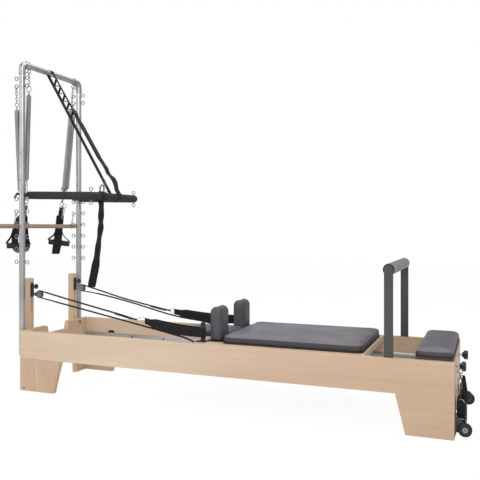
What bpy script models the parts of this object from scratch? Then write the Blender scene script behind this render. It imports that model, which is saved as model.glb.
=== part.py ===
"""Pilates reformer with a tower: a wooden frame, a rolling carriage, ropes and springs.

Metres, +Z up. +X runs to the foot end, -X to the tower end, -Y is the near side.
Pieces are placed in the frame's own centred system, under one empty that moves the whole.
"""

import math

import bmesh
import bpy
import numpy as np
from mathutils import Matrix, Vector

# Clearances
TOUCH = 0.0003
RUN = 0.0004
HOOK_SLACK = 0.0013

# Frame
FRAME_LENGTH = 2.50
FRAME_WIDTH = 0.66
RAIL_TOP = 0.36
RAIL_DEPTH = 0.167
RAIL_THICK = 0.030
END_THICK = 0.032
LEG_TOP_RUN = 0.27
LEG_TOE_RUN = 0.222
HEAD_LEG_TOP_RUN = 0.295
HEAD_LEG_TOE_RUN = 0.244
BOARD_ROUND = 0.0015
WING_WIDTH = 0.11
ARCH_TOP = 0.19
NOTCH_HALF = 0.109
NOTCH_DEPTH = 0.05
MEMBER_WIDTH = 0.09
MEMBER_THICK = 0.025
MEMBER_X = -0.30

# Tracks and rollers
TRACK_TOP = 0.265
TRACK_HEIGHT = 0.0425
TRACK_SHELF = 0.038
TRACK_WALL = 0.003
ROLLER_RADIUS = 0.022
ROLLER_WIDTH = 0.016
ROLLER_BORE = 0.0044
ROLLER_SIDE_GAP = 0.009

# Carriage
CARRIAGE_FROM_END = 0.422
CARRIAGE_LENGTH = 0.928
CARRIAGE_HALF = 0.292
CARRIAGE_TOP = 0.3605
CARRIAGE_THICK = 0.032
CARRIAGE_PAD_LENGTH = 0.765
CARRIAGE_PAD_INSET = 0.008
CARRIAGE_PAD_HALF = 0.285
CARRIAGE_PAD_TOP = 0.407
ROLLER_INSET_HEAD = 0.120
ROLLER_INSET_FOOT = 0.088
HOOK_ROD_INSET = 0.358
HOOK_ROD_RADIUS = 0.006

# Headrest, shoulder rests and loop posts
HEADREST_LENGTH = 0.290
HEADREST_GAP = 0.015
HEADREST_HALF = 0.100
HEADREST_TOP = 0.402
REST_INSET = 0.100
REST_THICK = 0.072
REST_INNER = 0.107
REST_OUTER = 0.233
REST_TOP = 0.552
POST_INSET = 0.041
POST_Y = 0.262
POST_RADIUS = 0.013
POST_TOP = 0.467
POST_FLANGE = 0.022

# Standing platform
PLATFORM_DEPTH = 0.183
PLATFORM_HALF = 0.305
PLATFORM_BOARD = 0.012
PLATFORM_TOP = 0.41

# Footbar
FOOTBAR_FROM_END = 0.302
FOOTBAR_PIVOT_Z = 0.300
FOOTBAR_TOP_Z = 0.783
FOOTBAR_POST_WIDTH = 0.043
FOOTBAR_POST_THICK = 0.012
FOOTBAR_POST_Y = 0.312
FOOTBAR_CORE_RADIUS = 0.0125
FOOTBAR_GRIP_RADIUS = 0.0295
FOOTBAR_PIN_RADIUS = 0.005
SLOT_HALF_LENGTH = 0.080
SLOT_FLOOR_BELOW_PIVOT = 0.028

# Springs under the carriage
SPRING_BAR_FROM_END = 0.150
SPRING_BAR_Z = 0.285
SPRING_BAR_RADIUS = 0.008
CARRIAGE_SPRING_YS = (-0.14, 0.0, 0.14)
CARRIAGE_SPRING_RADIUS = 0.016
CARRIAGE_SPRING_CURLS = 3

# Tower
TUBE_RADIUS = 0.018
UPRIGHT_Y = 0.2876
UPRIGHT_FOOT = 0.205
TOWER_TOP_Z = 1.9906
TOWER_BEND = 0.030
TOWER_SEAM = 0.015
EYE_RING = 0.0115
EYE_WIRE = 0.0025
EYE_REACH = 0.034
UPPER_EYES_DROP = (0.0876, 0.1366)
LOWER_EYES_DROP = 0.028
LOWER_EYES_PITCH = 0.0777
LOWER_EYES_COUNT = 6
TOP_EYES_Y = (0.224, 0.250)

# Risers and rope pulleys
RISER_INNER = 0.200
RISER_WIDTH = 0.040
RISER_DEPTH = 0.043
RISER_FOOT = 0.100
RISER_TOP = 0.670
SLIDE_PLATE_LOW = 0.556
SLIDE_PLATE_HIGH = 0.640
SLIDE_PLATE_THICK = 0.004
SLIDE_BOLT_RADIUS = 0.004
SLIDE_BOLT_Z = 0.620
SLIDE_DOWN = 0.150
SLIDE_UP = 0.020
PULLEY_AHEAD = 0.060
PULLEY_Z = 0.573
SHEAVE_RADIUS = 0.024
SHEAVE_GROOVE = 0.017
SHEAVE_HALF = 0.0055
SHEAVE_FLANGE = 0.0013
CHEEK_THICK = 0.0025
AXLE_RADIUS = 0.004

# Push-through bar
PUSH_BAR_Z = 1.190
PUSH_BAR_END_Z = 1.178
PUSH_BAR_REACH = 0.4903
PUSH_BAR_RADIUS = 0.024
PUSH_BAR_HALF = 0.2415
PUSH_BAR_BEND = 0.045
PUSH_BAR_TAIL = 0.016
PUSH_PIN_RADIUS = 0.006
PUSH_PIN_DEPTH = 0.010

# Straps
SAFETY_WIDTH = 0.025
SAFETY_THICK = 0.0025
TAIL_Y = -0.165
TAIL_WIDTH = 0.038
TAIL_THICK = 0.003

# Tower springs and handles
TOWER_SPRING_RADIUS = 0.013
SPRING_WIRE = 0.002
SPRING_LOOP = 0.010
TOWER_SPRING_CURLS = 7
# Each coil runs from (X from the upright, Y, drop from the top bar) to (X, Y, rise above the handle ring)
NEAR_COILS = (
    ((-0.0017, -0.225, 0.1726), (-0.0237, -0.222, 0.135)),
    ((-0.0357, -0.2876, 0.2756), (-0.0407, -0.273, 0.072)),
)
FAR_COILS = (
    ((-0.0017, 0.205, 0.1916), (-0.0217, 0.150, 0.100)),
    ((-0.0357, 0.270, 0.2306), (-0.0407, 0.207, 0.095)),
)
HANDLE_RING = 0.016
HANDLE_RING_BACK = 0.0367
HANDLE_RING_Z = 1.150
HANDLE_NEAR_Y = -0.243
HANDLE_FAR_Y = 0.155
HANDLE_BACK = 0.1062
HANDLE_GRIP_LENGTH = 0.140
HANDLE_GRIP_RADIUS = 0.014
HANDLE_GRIP_Z = 0.880
HANDLE_WEB_WIDTH = 0.050
HANDLE_WEB_THICK = 0.004
HANDLE_WEB_LOW = 0.805

# Roll-down bar
DOWEL_RADIUS = 0.0145
DOWEL_BACK = 0.0627
DOWEL_Z = 0.998
DOWEL_FAR_Y = 0.306
DOWEL_LENGTH = 0.914
DOWEL_HANGER_WIRE = 0.0018

# Ropes and foot loops
ROPE_RADIUS = 0.0035
ROPE_Y = 0.220
ROPE_END_AHEAD = 0.035
ROPE_END_Y = 0.212
ROPE_END_Z = 0.452
CLEAT_Y = 0.235
CLEAT_Z = 0.345
CLEAT_LENGTH = 0.015
LOOP_WIDTH = 0.050
LOOP_THICK = 0.003
LOOP_LENGTH = 0.411

# Foot end
KNOB_Y = 0.150
KNOB_Z = 0.310
WHEEL_OVERHANG = 0.045
WHEEL_Y = 0.290
WHEEL_Z = 0.044
WHEEL_RADIUS = 0.032
WHEEL_WIDTH = 0.022
SET_Y = -0.200
SET_HOOK_Z = 0.296

# Derived places
HALF_LENGTH = FRAME_LENGTH / 2
HALF_WIDTH = FRAME_WIDTH / 2
RAIL_BOTTOM = RAIL_TOP - RAIL_DEPTH
INNER = HALF_WIDTH - RAIL_THICK
UPRIGHT_X = -HALF_LENGTH - TUBE_RADIUS - TOUCH
RISER_FACE_X = -HALF_LENGTH - TOUCH
SHELF_TOP = TRACK_TOP - TRACK_HEIGHT + TRACK_WALL
ROLLER_Z = SHELF_TOP + ROLLER_RADIUS + TOUCH
ROLLER_Y = INNER - ROLLER_SIDE_GAP - ROLLER_WIDTH / 2 - TRACK_WALL
CARRIAGE_FOOT_X = HALF_LENGTH - CARRIAGE_FROM_END
CARRIAGE_HEAD_X = CARRIAGE_FOOT_X - CARRIAGE_LENGTH
CARRIAGE_PAD_FOOT_X = CARRIAGE_FOOT_X - CARRIAGE_PAD_INSET
CARRIAGE_PAD_HEAD_X = CARRIAGE_PAD_FOOT_X - CARRIAGE_PAD_LENGTH
HEADREST_FOOT_X = CARRIAGE_PAD_HEAD_X - HEADREST_GAP
HEADREST_HEAD_X = HEADREST_FOOT_X - HEADREST_LENGTH
ROLLER_X_HEAD = CARRIAGE_HEAD_X + ROLLER_INSET_HEAD
ROLLER_X_FOOT = CARRIAGE_FOOT_X - ROLLER_INSET_FOOT
HOOK_ROD_X = CARRIAGE_FOOT_X - HOOK_ROD_INSET
REST_X = CARRIAGE_HEAD_X + REST_INSET
POST_X = CARRIAGE_HEAD_X + POST_INSET
LOOP_RING_X = POST_X - LOOP_LENGTH
ROPE_END_X = LOOP_RING_X - ROPE_END_AHEAD
PLATFORM_HEAD_X = HALF_LENGTH - PLATFORM_DEPTH
FOOTBAR_X = HALF_LENGTH - FOOTBAR_FROM_END
SPRING_BAR_X = HALF_LENGTH - SPRING_BAR_FROM_END
PULLEY_X = -HALF_LENGTH + PULLEY_AHEAD
WHEEL_X = HALF_LENGTH + WHEEL_OVERHANG
PUSH_BAR_X = UPRIGHT_X + PUSH_BAR_REACH
HANDLE_RING_X = UPRIGHT_X - HANDLE_RING_BACK
HANDLE_BACK_X = UPRIGHT_X - HANDLE_BACK
DOWEL_X = UPRIGHT_X - DOWEL_BACK
UPPER_EYES = [TOWER_TOP_Z - drop for drop in UPPER_EYES_DROP]
LOWER_EYES_TOP = PUSH_BAR_Z - LOWER_EYES_DROP
HANDLE_SIDE = Vector((1, 1, 0)).normalized()
GRIP_FORWARD = HANDLE_GRIP_RADIUS - 0.001
REACH_BACK = HANDLE_BACK_X + (GRIP_FORWARD - HANDLE_GRIP_LENGTH / 2 - HANDLE_GRIP_RADIUS) * HANDLE_SIDE.x
REACH_FRONT = WHEEL_X + WHEEL_RADIUS
REACH_NEAR = DOWEL_FAR_Y - DOWEL_LENGTH
REACH_FAR = HALF_WIDTH
SHIFT = Vector((-(REACH_BACK + REACH_FRONT) / 2, -(REACH_NEAR + REACH_FAR) / 2, 0))

X_AXIS = Vector((1, 0, 0))
Y_AXIS = Vector((0, 1, 0))
Z_AXIS = Vector((0, 0, 1))


def clear_scene():
    for obj in list(bpy.data.objects):
        bpy.data.objects.remove(obj, do_unlink=True)


def material(name, color, roughness, metallic=0.0):
    made = bpy.data.materials.new(name)
    made.use_nodes = True
    shader = made.node_tree.nodes["Principled BSDF"]
    shader.inputs["Base Color"].default_value = (*color, 1)
    shader.inputs["Roughness"].default_value = roughness
    shader.inputs["Metallic"].default_value = metallic
    made.diffuse_color = (*color, 1)
    return made


clear_scene()
MAPLE = material("maple", (0.68, 0.50, 0.33), 0.45)
DOWEL_WOOD = material("dowel_wood", (0.60, 0.40, 0.25), 0.5)
VINYL = material("grey_vinyl", (0.20, 0.20, 0.235), 0.5)
STEEL = material("steel", (0.55, 0.55, 0.56), 0.3, 1.0)
ALUMINIUM = material("aluminium", (0.62, 0.62, 0.63), 0.4, 1.0)
GREY_PAINT = material("grey_paint", (0.10, 0.10, 0.10), 0.5)
FOAM = material("black_foam", (0.045, 0.04, 0.042), 0.8)
WEBBING = material("black_webbing", (0.015, 0.013, 0.015), 0.85)
PLASTIC = material("black_plastic", (0.02, 0.02, 0.02), 0.4)
RUBBER = material("rubber", (0.03, 0.03, 0.03), 0.7)

ROOT = bpy.data.objects.new("reformer_origin", None)
ROOT.location = SHIFT
bpy.context.scene.collection.objects.link(ROOT)


def add(name, data, look, pivot=(0, 0, 0)):
    """Links data as an object whose origin is at pivot; the data are in the frame's system."""
    pivot = Vector(pivot)
    data.transform(Matrix.Translation(-pivot))
    obj = bpy.data.objects.new(name, data)
    obj.location = pivot
    obj.parent = ROOT
    if not data.materials:
        data.materials.append(look)
    bpy.context.scene.collection.objects.link(obj)
    return obj


def loft(rings, closed=False):
    """A mesh through rings of equally many points, with a cap on each end unless it is closed."""
    mesh = bpy.data.meshes.new("loft")
    bm = bmesh.new()
    rows = [[bm.verts.new(p) for p in ring] for ring in rings]
    pairs = list(zip(rows, rows[1:]))
    if closed:
        pairs.append((rows[-1], rows[0]))
    for low, high in pairs:
        for i in range(len(low)):
            j = (i + 1) % len(low)
            bm.faces.new((low[i], low[j], high[j], high[i]))
    if not closed:
        bm.faces.new(rows[0])
        bm.faces.new(rows[-1])
    bmesh.ops.recalc_face_normals(bm, faces=bm.faces)
    bm.to_mesh(mesh)
    bm.free()
    return mesh


def smooth(mesh):
    mesh.shade_smooth()
    mesh.set_sharp_from_angle(angle=math.radians(35))
    return mesh


def joined(*meshes):
    """One mesh of several; where they overlap, a Boolean with use_self makes them one."""
    mesh = bpy.data.meshes.new("joined")
    bm = bmesh.new()
    for part in meshes:
        bm.from_mesh(part)
    bm.to_mesh(mesh)
    bm.free()
    return mesh


def block(x, y, z):
    """A box from three pairs of limits."""
    return loft([[(x[0], y[0], h), (x[1], y[0], h), (x[1], y[1], h), (x[0], y[1], h)] for h in z])


def slab_y(outline, y):
    """An outline in X and Z, extruded between two Y limits."""
    return loft([[(u, side, v) for u, v in outline] for side in y])


def slab_x(outline, x):
    """An outline in Y and Z, extruded between two X limits."""
    return loft([[(side, u, v) for u, v in outline] for side in x])


def frame_about(axis):
    axis = Vector(axis).normalized()
    helper = Z_AXIS if abs(axis.z) < 0.9 else X_AXIS
    side = axis.cross(helper).normalized()
    return axis, side, axis.cross(side)


def ring_points(centre, axis, radius, count):
    _, u, v = frame_about(axis)
    turns = [2 * math.pi * i / count for i in range(count)]
    return [Vector(centre) + radius * (math.cos(t) * u + math.sin(t) * v) for t in turns]


def turned(centre, axis, profile, count=16):
    """A solid turned about axis, from (distance along it, radius) pairs."""
    axis = Vector(axis).normalized()
    return smooth(loft([ring_points(Vector(centre) + d * axis, axis, r, count) for d, r in profile]))


def turned_ring(centre, axis, profile, count=16):
    """A turned solid with a bore: the profile is a closed outline of (distance, radius) pairs."""
    axis, u, v = frame_about(axis)
    rings = []
    for i in range(count):
        t = 2 * math.pi * i / count
        out = math.cos(t) * u + math.sin(t) * v
        rings.append([Vector(centre) + d * axis + r * out for d, r in profile])
    return smooth(loft(rings, closed=True))


def rod(a, b, radius, count=12):
    a, b = Vector(a), Vector(b)
    return turned(a, b - a, [(0, radius), ((b - a).length, radius)], count)


def torus(centre, axis, ring, wire, around=8, across=4):
    axis, u, v = frame_about(axis)
    rings = []
    for i in range(around):
        t = 2 * math.pi * i / around
        out = math.cos(t) * u + math.sin(t) * v
        turns = [2 * math.pi * k / across for k in range(across)]
        middle = Vector(centre) + ring * out
        rings.append([middle + wire * (math.cos(s) * out + math.sin(s) * axis) for s in turns])
    return smooth(loft(rings, closed=True))


def tangents(path, closed=False):
    count = len(path)
    found = []
    for i in range(count):
        before = path[(i - 1) % count] if closed or i else path[0]
        after = path[(i + 1) % count] if closed or i < count - 1 else path[-1]
        found.append((after - before).normalized())
    return found


def swept(path, radius, plane_normal, count=16):
    """A round bar along a path that lies in one plane."""
    normal = Vector(plane_normal).normalized()
    rings = []
    for point, tangent in zip(path, tangents(path)):
        side = tangent.cross(normal).normalized()
        turns = [2 * math.pi * i / count for i in range(count)]
        rings.append([point + radius * (math.cos(t) * side + math.sin(t) * normal) for t in turns])
    return smooth(loft(rings))


def ribbon(path, across, width, thick, closed=False):
    """Webbing along a path; across is the direction of its width."""
    across = Vector(across).normalized()
    rings = []
    for point, tangent in zip(path, tangents(path, closed)):
        wide = (across - across.dot(tangent) * tangent).normalized() * width / 2
        deep = tangent.cross(wide).normalized() * thick / 2
        rings.append([point - wide - deep, point + wide - deep, point + wide + deep, point - wide + deep])
    return smooth(loft(rings, closed))


def arc(centre, u, v, radius, start, stop, steps):
    """Points on an arc from start to stop degrees, in the plane of u and v."""
    turns = [math.radians(start + (stop - start) * i / steps) for i in range(steps + 1)]
    return [Vector(centre) + radius * (math.cos(t) * u + math.sin(t) * v) for t in turns]


def snug(radius, sweep, steps):
    """The radius at which an arc's chords, not its points, clear a bar."""
    return radius / math.cos(math.radians(sweep / steps / 2))


def curve_through(points, steps):
    """A smooth Catmull-Rom curve through points chosen by hand."""
    points = [Vector(p) for p in points]
    ends = [2 * points[0] - points[1], *points, 2 * points[-1] - points[-2]]
    found = []
    for a, b, c, d in zip(ends, ends[1:], ends[2:], ends[3:]):
        for i in range(steps):
            t = i / steps
            found.append(
                0.5 * (2 * b + (c - a) * t + (2 * a - 5 * b + 4 * c - d) * t**2 + (3 * b - a - 3 * c + d) * t**3)
            )
    found.append(points[-1])
    return found


def tube(name, path, radius, look, resolution, pivot=(0, 0, 0)):
    data = bpy.data.curves.new(name, "CURVE")
    data.dimensions = "3D"
    data.bevel_depth = radius
    data.bevel_resolution = resolution
    data.use_fill_caps = True
    spline = data.splines.new("POLY")
    spline.points.add(len(path) - 1)
    for point, place in zip(spline.points, path):
        point.co = (*place, 1)
    return add(name, data, look, pivot)


def helper(name, mesh):
    obj = add(name, mesh, STEEL)
    obj.hide_render = True
    obj.display_type = "WIRE"
    return obj


def combine(obj, operation, *meshes):
    """Cuts meshes from obj, or joins them to it, with one Boolean."""
    tool = helper(f"{obj.name}_{operation.lower()}", joined(*meshes))
    modifier = obj.modifiers.new(operation.lower(), "BOOLEAN")
    modifier.operation = operation
    modifier.solver = "EXACT"
    modifier.use_self = len(meshes) > 1
    modifier.object = tool
    return obj


def rounded(obj, width=BOARD_ROUND):
    modifier = obj.modifiers.new("edges", "BEVEL")
    modifier.width = width
    modifier.segments = 1
    modifier.limit_method = "ANGLE"
    return obj


def rounded_outline(half_x, half_y, corner, steps=3):
    points = []
    for sx, sy, start in ((1, 1, 0), (-1, 1, 90), (-1, -1, 180), (1, -1, 270)):
        centre = Vector((sx * (half_x - corner), sy * (half_y - corner), 0))
        points += arc(centre, X_AXIS, Y_AXIS, corner, start, start + 90, steps)
    return [(p.x, p.y) for p in points]


def cushion(x, y, z, corner=0.03, edge=0.014, crown=0.006):
    """An upholstered pad: sides drawn in at the foot, rounded edges and a crowned top."""
    half_x, half_y = (x[1] - x[0]) / 2, (y[1] - y[0]) / 2
    middle = Vector(((x[0] + x[1]) / 2, (y[0] + y[1]) / 2, 0))
    height = z[1] - z[0] - crown
    outline = rounded_outline(half_x, half_y, corner)
    levels = [(0.25 * edge, 0), (0, 0.35 * height), (0.05 * edge, height - edge)]
    for degrees in (30, 60, 90):
        t = math.radians(degrees)
        levels.append((edge * (1 - math.cos(t)), height - edge * (1 - math.sin(t))))
    short = min(half_x, half_y)
    for share in (0.35, 0.65, 0.93):
        levels.append((share * short, height + crown * (1 - (1 - share) ** 2)))
    rings = []
    for inset, up in levels:
        sx, sy = (half_x - inset) / half_x, (half_y - inset) / half_y
        rings.append([middle + Vector((px * sx, py * sy, z[0] + up)) for px, py in outline])
    return smooth(loft(rings))


def sides():
    """The near and the far side, with the sign of Y."""
    return (("near", -1), ("far", 1))


def between(sign, inner, outer):
    return sorted((sign * inner, sign * outer))


def make_rails():
    outline = [
        (-HALF_LENGTH, RAIL_BOTTOM),
        (-HALF_LENGTH, RAIL_TOP),
        (HALF_LENGTH, RAIL_TOP),
        (HALF_LENGTH, 0),
        (HALF_LENGTH - LEG_TOE_RUN, 0),
        (HALF_LENGTH - LEG_TOP_RUN, RAIL_BOTTOM),
    ]
    half_slot = FOOTBAR_POST_THICK / 2 + 0.001
    floor = FOOTBAR_PIVOT_Z - SLOT_FLOOR_BELOW_PIVOT
    for side, sign in sides():
        rail = add(f"side_rail_{side}", slab_y(outline, between(sign, INNER, HALF_WIDTH)), MAPLE)
        rounded(rail)
        slot_x = (FOOTBAR_X - SLOT_HALF_LENGTH, FOOTBAR_X + SLOT_HALF_LENGTH)
        slot_y = between(sign, FOOTBAR_POST_Y - half_slot, FOOTBAR_POST_Y + half_slot)
        combine(rail, "DIFFERENCE", block(slot_x, slot_y, (floor, RAIL_TOP + 0.01)))
        pin_y = between(sign, FOOTBAR_POST_Y - half_slot - 0.002, FOOTBAR_POST_Y + half_slot + 0.002)
        ends = [(FOOTBAR_X, y, FOOTBAR_PIVOT_Z) for y in pin_y]
        combine(rail, "UNION", rod(*ends, FOOTBAR_PIN_RADIUS, 12))


def make_head_legs():
    top = RAIL_BOTTOM - TOUCH
    outline = [
        (-HALF_LENGTH, 0),
        (-HALF_LENGTH, top),
        (-HALF_LENGTH + HEAD_LEG_TOP_RUN, top),
        (-HALF_LENGTH + HEAD_LEG_TOE_RUN, 0),
    ]
    for side, sign in sides():
        rounded(add(f"head_leg_{side}", slab_y(outline, between(sign, INNER, HALF_WIDTH)), MAPLE))


def end_board_outline(notch):
    """Half of the board in Y and Z: two wings to the floor, an arch between them, and a notch on top."""
    edge = INNER - TOUCH
    wing = edge - WING_WIDTH
    curve = 0.05
    arch = arc((wing - curve, ARCH_TOP - curve, 0), X_AXIS, Y_AXIS, curve, 0, 90, 4)
    right = [(p.x, p.y) for p in arch]
    top = [(edge, RAIL_TOP)]
    if notch:
        top += [(NOTCH_HALF, RAIL_TOP), (NOTCH_HALF - 0.015, RAIL_TOP - NOTCH_DEPTH)]
    half = [*reversed(right), (wing, 0), (edge, 0), *top]
    return half + [(-y, z) for y, z in reversed(half)]


def make_end_boards():
    head_x = (-HALF_LENGTH, -HALF_LENGTH + END_THICK)
    head = rounded(add("head_end_board", slab_x(end_board_outline(True), head_x), MAPLE))
    bolts = []
    for _, sign in sides():
        for z in (RAIL_TOP - 0.015, RAIL_BOTTOM + 0.03):
            y = sign * (RISER_INNER + RISER_WIDTH / 2)
            bolts.append(turned((head_x[1] - 0.003, y, z), X_AXIS, [(0, 0.007), (0.007, 0.007)], 6))
    combine(head, "UNION", *bolts)
    foot_x = (HALF_LENGTH - END_THICK, HALF_LENGTH)
    rounded(add("foot_end_board", slab_x(end_board_outline(False), foot_x), MAPLE))
    low = RAIL_BOTTOM + 0.001
    member_x = (MEMBER_X - MEMBER_WIDTH / 2, MEMBER_X + MEMBER_WIDTH / 2)
    member_y = (-INNER + TOUCH, INNER - TOUCH)
    rounded(add("cross_member", block(member_x, member_y, (low, low + MEMBER_THICK)), MAPLE))


def make_tracks():
    length = (-HALF_LENGTH + END_THICK + TOUCH, HALF_LENGTH - END_THICK - TOUCH)
    low = TRACK_TOP - TRACK_HEIGHT
    for side, sign in sides():
        wall = sign * (INNER - TOUCH)
        face = sign * (INNER - TOUCH - TRACK_WALL)
        lip = sign * (INNER - TOUCH - TRACK_SHELF)
        outline = [(wall, low), (wall, TRACK_TOP), (face, TRACK_TOP), (face, SHELF_TOP), (lip, SHELF_TOP), (lip, low)]
        add(f"track_{side}", slab_x(outline, length), ALUMINIUM)


def make_spring_bar():
    ends = [(SPRING_BAR_X, sign * (INNER - TOUCH), SPRING_BAR_Z) for _, sign in sides()]
    add("spring_bar", rod(*ends, SPRING_BAR_RADIUS, 16), STEEL)


def make_platform():
    low = RAIL_TOP + TOUCH
    x = (PLATFORM_HEAD_X, HALF_LENGTH)
    board_x = (x[0] + 0.006, x[1] - 0.006)
    half = PLATFORM_HALF
    board_y = (-half + 0.004, half - 0.004)
    add("platform_board", block(board_x, board_y, (low, low + PLATFORM_BOARD)), PLASTIC)
    top = (low + PLATFORM_BOARD + TOUCH, PLATFORM_TOP)
    add("platform_cushion", cushion(x, (-half, half), top, 0.025, 0.012, 0.004), VINYL)


def make_carriage():
    low = CARRIAGE_TOP - CARRIAGE_THICK
    x = (CARRIAGE_HEAD_X, CARRIAGE_FOOT_X)
    half = CARRIAGE_HALF
    base = rounded(add("carriage_base", block(x, (-half, half), (low, CARRIAGE_TOP)), MAPLE, (0, 0, CARRIAGE_TOP)))
    extras = []
    for _, sign in sides():
        for roller_x in (ROLLER_X_HEAD, ROLLER_X_FOOT):
            inner_face = ROLLER_Y - ROLLER_WIDTH / 2 - 0.002
            arm_y = between(sign, inner_face - 0.006, inner_face)
            arm_x = (roller_x - 0.016, roller_x + 0.016)
            extras.append(block(arm_x, arm_y, (ROLLER_Z - 0.010, low + 0.004)))
            axle_y = between(sign, inner_face - 0.003, ROLLER_Y + ROLLER_WIDTH / 2)
            extras.append(rod(*[(roller_x, y, ROLLER_Z) for y in axle_y], ROLLER_BORE - RUN, 12))
        cleat = (CARRIAGE_HEAD_X + 0.004, sign * CLEAT_Y, CLEAT_Z)
        extras.append(turned(cleat, -X_AXIS, [(0, 0.007), (CLEAT_LENGTH + 0.004, 0.006)], 10))
    for _, sign in sides():
        lug_y = between(sign, 0.185, 0.195)
        lug_x = (HOOK_ROD_X - 0.014, HOOK_ROD_X + 0.014)
        extras.append(block(lug_x, lug_y, (SPRING_BAR_Z - 0.012, low + 0.004)))
    hook_rod = [(HOOK_ROD_X, y, SPRING_BAR_Z) for y in (-0.19, 0.19)]
    extras.append(rod(*hook_rod, HOOK_ROD_RADIUS, 12))
    combine(base, "UNION", *extras)
    pad_x = (CARRIAGE_PAD_HEAD_X, CARRIAGE_PAD_FOOT_X)
    pad_y = (-CARRIAGE_PAD_HALF, CARRIAGE_PAD_HALF)
    pad_z = (CARRIAGE_TOP + TOUCH, CARRIAGE_PAD_TOP)
    add("carriage_cushion", cushion(pad_x, pad_y, pad_z, 0.035, 0.016, 0.004), VINYL)


def make_rollers():
    profile = [
        (-ROLLER_WIDTH / 2, ROLLER_BORE),
        (-ROLLER_WIDTH / 2, ROLLER_RADIUS - 0.002),
        (-ROLLER_WIDTH / 2 + 0.002, ROLLER_RADIUS),
        (ROLLER_WIDTH / 2 - 0.002, ROLLER_RADIUS),
        (ROLLER_WIDTH / 2, ROLLER_RADIUS - 0.002),
        (ROLLER_WIDTH / 2, ROLLER_BORE),
    ]
    for side, sign in sides():
        for end, x in (("head", ROLLER_X_HEAD), ("foot", ROLLER_X_FOOT)):
            place = (x, sign * ROLLER_Y, ROLLER_Z)
            add(f"roller_{side}_{end}", turned_ring(place, Y_AXIS, profile, 16), RUBBER, place)


def make_headrest():
    x = (HEADREST_HEAD_X, HEADREST_FOOT_X)
    y = (-HEADREST_HALF, HEADREST_HALF)
    z = (CARRIAGE_TOP + TOUCH, HEADREST_TOP)
    pivot = (HEADREST_FOOT_X + 0.004, 0, HEADREST_TOP - 0.007)
    add("headrest", cushion(x, y, z, 0.025, 0.012, 0.004), VINYL, pivot)


def make_shoulder_rests():
    half = REST_THICK / 2
    low = CARRIAGE_TOP + TOUCH
    dome = arc((0, REST_TOP - half, 0), X_AXIS, Y_AXIS, half, 0, 180, 8)
    outline = [(half, low), *[(p.x, p.y) for p in dome], (-half, low)]
    width = REST_OUTER - REST_INNER
    middle_z = (low + REST_TOP) / 2
    levels = ((0, 0.012), (0.05, 0.004), (0.12, 0), (0.88, 0), (0.95, 0.004), (1, 0.012))
    for side, sign in sides():
        rings = []
        for share, inset in levels:
            y = sign * (REST_INNER + share * width)
            shrink = 1 - inset / half
            lift = 1 - inset / (middle_z - low)
            rise = [(v - middle_z) * (lift if v > middle_z else 1) for _, v in outline]
            rings.append([(REST_X + u * shrink, y, middle_z + up) for (u, _), up in zip(outline, rise)])
        add(f"shoulder_rest_{side}", smooth(loft(rings)), VINYL)


def make_loop_posts():
    low = CARRIAGE_TOP + TOUCH
    height = POST_TOP - low
    profile = [
        (0, POST_FLANGE),
        (0.004, POST_FLANGE),
        (0.004, POST_RADIUS),
        (height - 0.002, POST_RADIUS),
        (height, POST_RADIUS - 0.002),
    ]
    for side, sign in sides():
        add(f"loop_post_{side}", turned((POST_X, sign * POST_Y, low), Z_AXIS, profile), STEEL)


def make_footbar():
    half = FOOTBAR_POST_WIDTH / 2
    centre_low = (FOOTBAR_X, FOOTBAR_PIVOT_Z, 0)
    centre_high = (FOOTBAR_X, FOOTBAR_TOP_Z, 0)
    outline = [(p.x, p.y) for p in arc(centre_low, X_AXIS, Y_AXIS, half, 180, 360, 8)]
    outline += [(p.x, p.y) for p in arc(centre_high, X_AXIS, Y_AXIS, half, 0, 180, 8)]
    inner = FOOTBAR_POST_Y - FOOTBAR_POST_THICK / 2
    outer = FOOTBAR_POST_Y + FOOTBAR_POST_THICK / 2
    pivot = (FOOTBAR_X, 0, FOOTBAR_PIVOT_Z)
    frame = add("footbar_frame", slab_y(outline, between(-1, inner, outer)), GREY_PAINT, pivot)
    core = rod(*[(FOOTBAR_X, sign * (inner + 0.004), FOOTBAR_TOP_Z) for _, sign in sides()], FOOTBAR_CORE_RADIUS)
    combine(frame, "UNION", slab_y(outline, between(1, inner, outer)), core)
    bores = []
    for _, sign in sides():
        ends = [(FOOTBAR_X, y, FOOTBAR_PIVOT_Z) for y in between(sign, inner - 0.01, outer + 0.01)]
        bores.append(rod(*ends, FOOTBAR_PIN_RADIUS + RUN, 12))
    combine(frame, "DIFFERENCE", *bores)
    reach = inner - TOUCH
    bore = FOOTBAR_CORE_RADIUS + TOUCH
    radius = FOOTBAR_GRIP_RADIUS
    profile = [
        (-reach, bore),
        (-reach, radius - 0.004),
        (-reach + 0.003, radius),
        (reach - 0.003, radius),
        (reach, radius - 0.004),
        (reach, bore),
    ]
    middle = (FOOTBAR_X, 0, FOOTBAR_TOP_Z)
    add("footbar_grip", turned_ring(middle, Y_AXIS, profile, 18), VINYL, pivot)


def eyebolt(root, out, plane_axis, reach):
    """A ring on a short shank, from root, a point inside the piece that carries it."""
    out = Vector(out).normalized()
    centre = Vector(root) + reach * out
    shank_end = centre - (EYE_RING - EYE_WIRE * 0.4) * out
    shank = rod(Vector(root) + 0.4 * (reach - EYE_RING) * out, shank_end, EYE_WIRE, 4)
    return [torus(centre, plane_axis, EYE_RING, EYE_WIRE), shank]


def eye_heights():
    return [*UPPER_EYES, *[LOWER_EYES_TOP - LOWER_EYES_PITCH * i for i in range(LOWER_EYES_COUNT)]]


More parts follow.
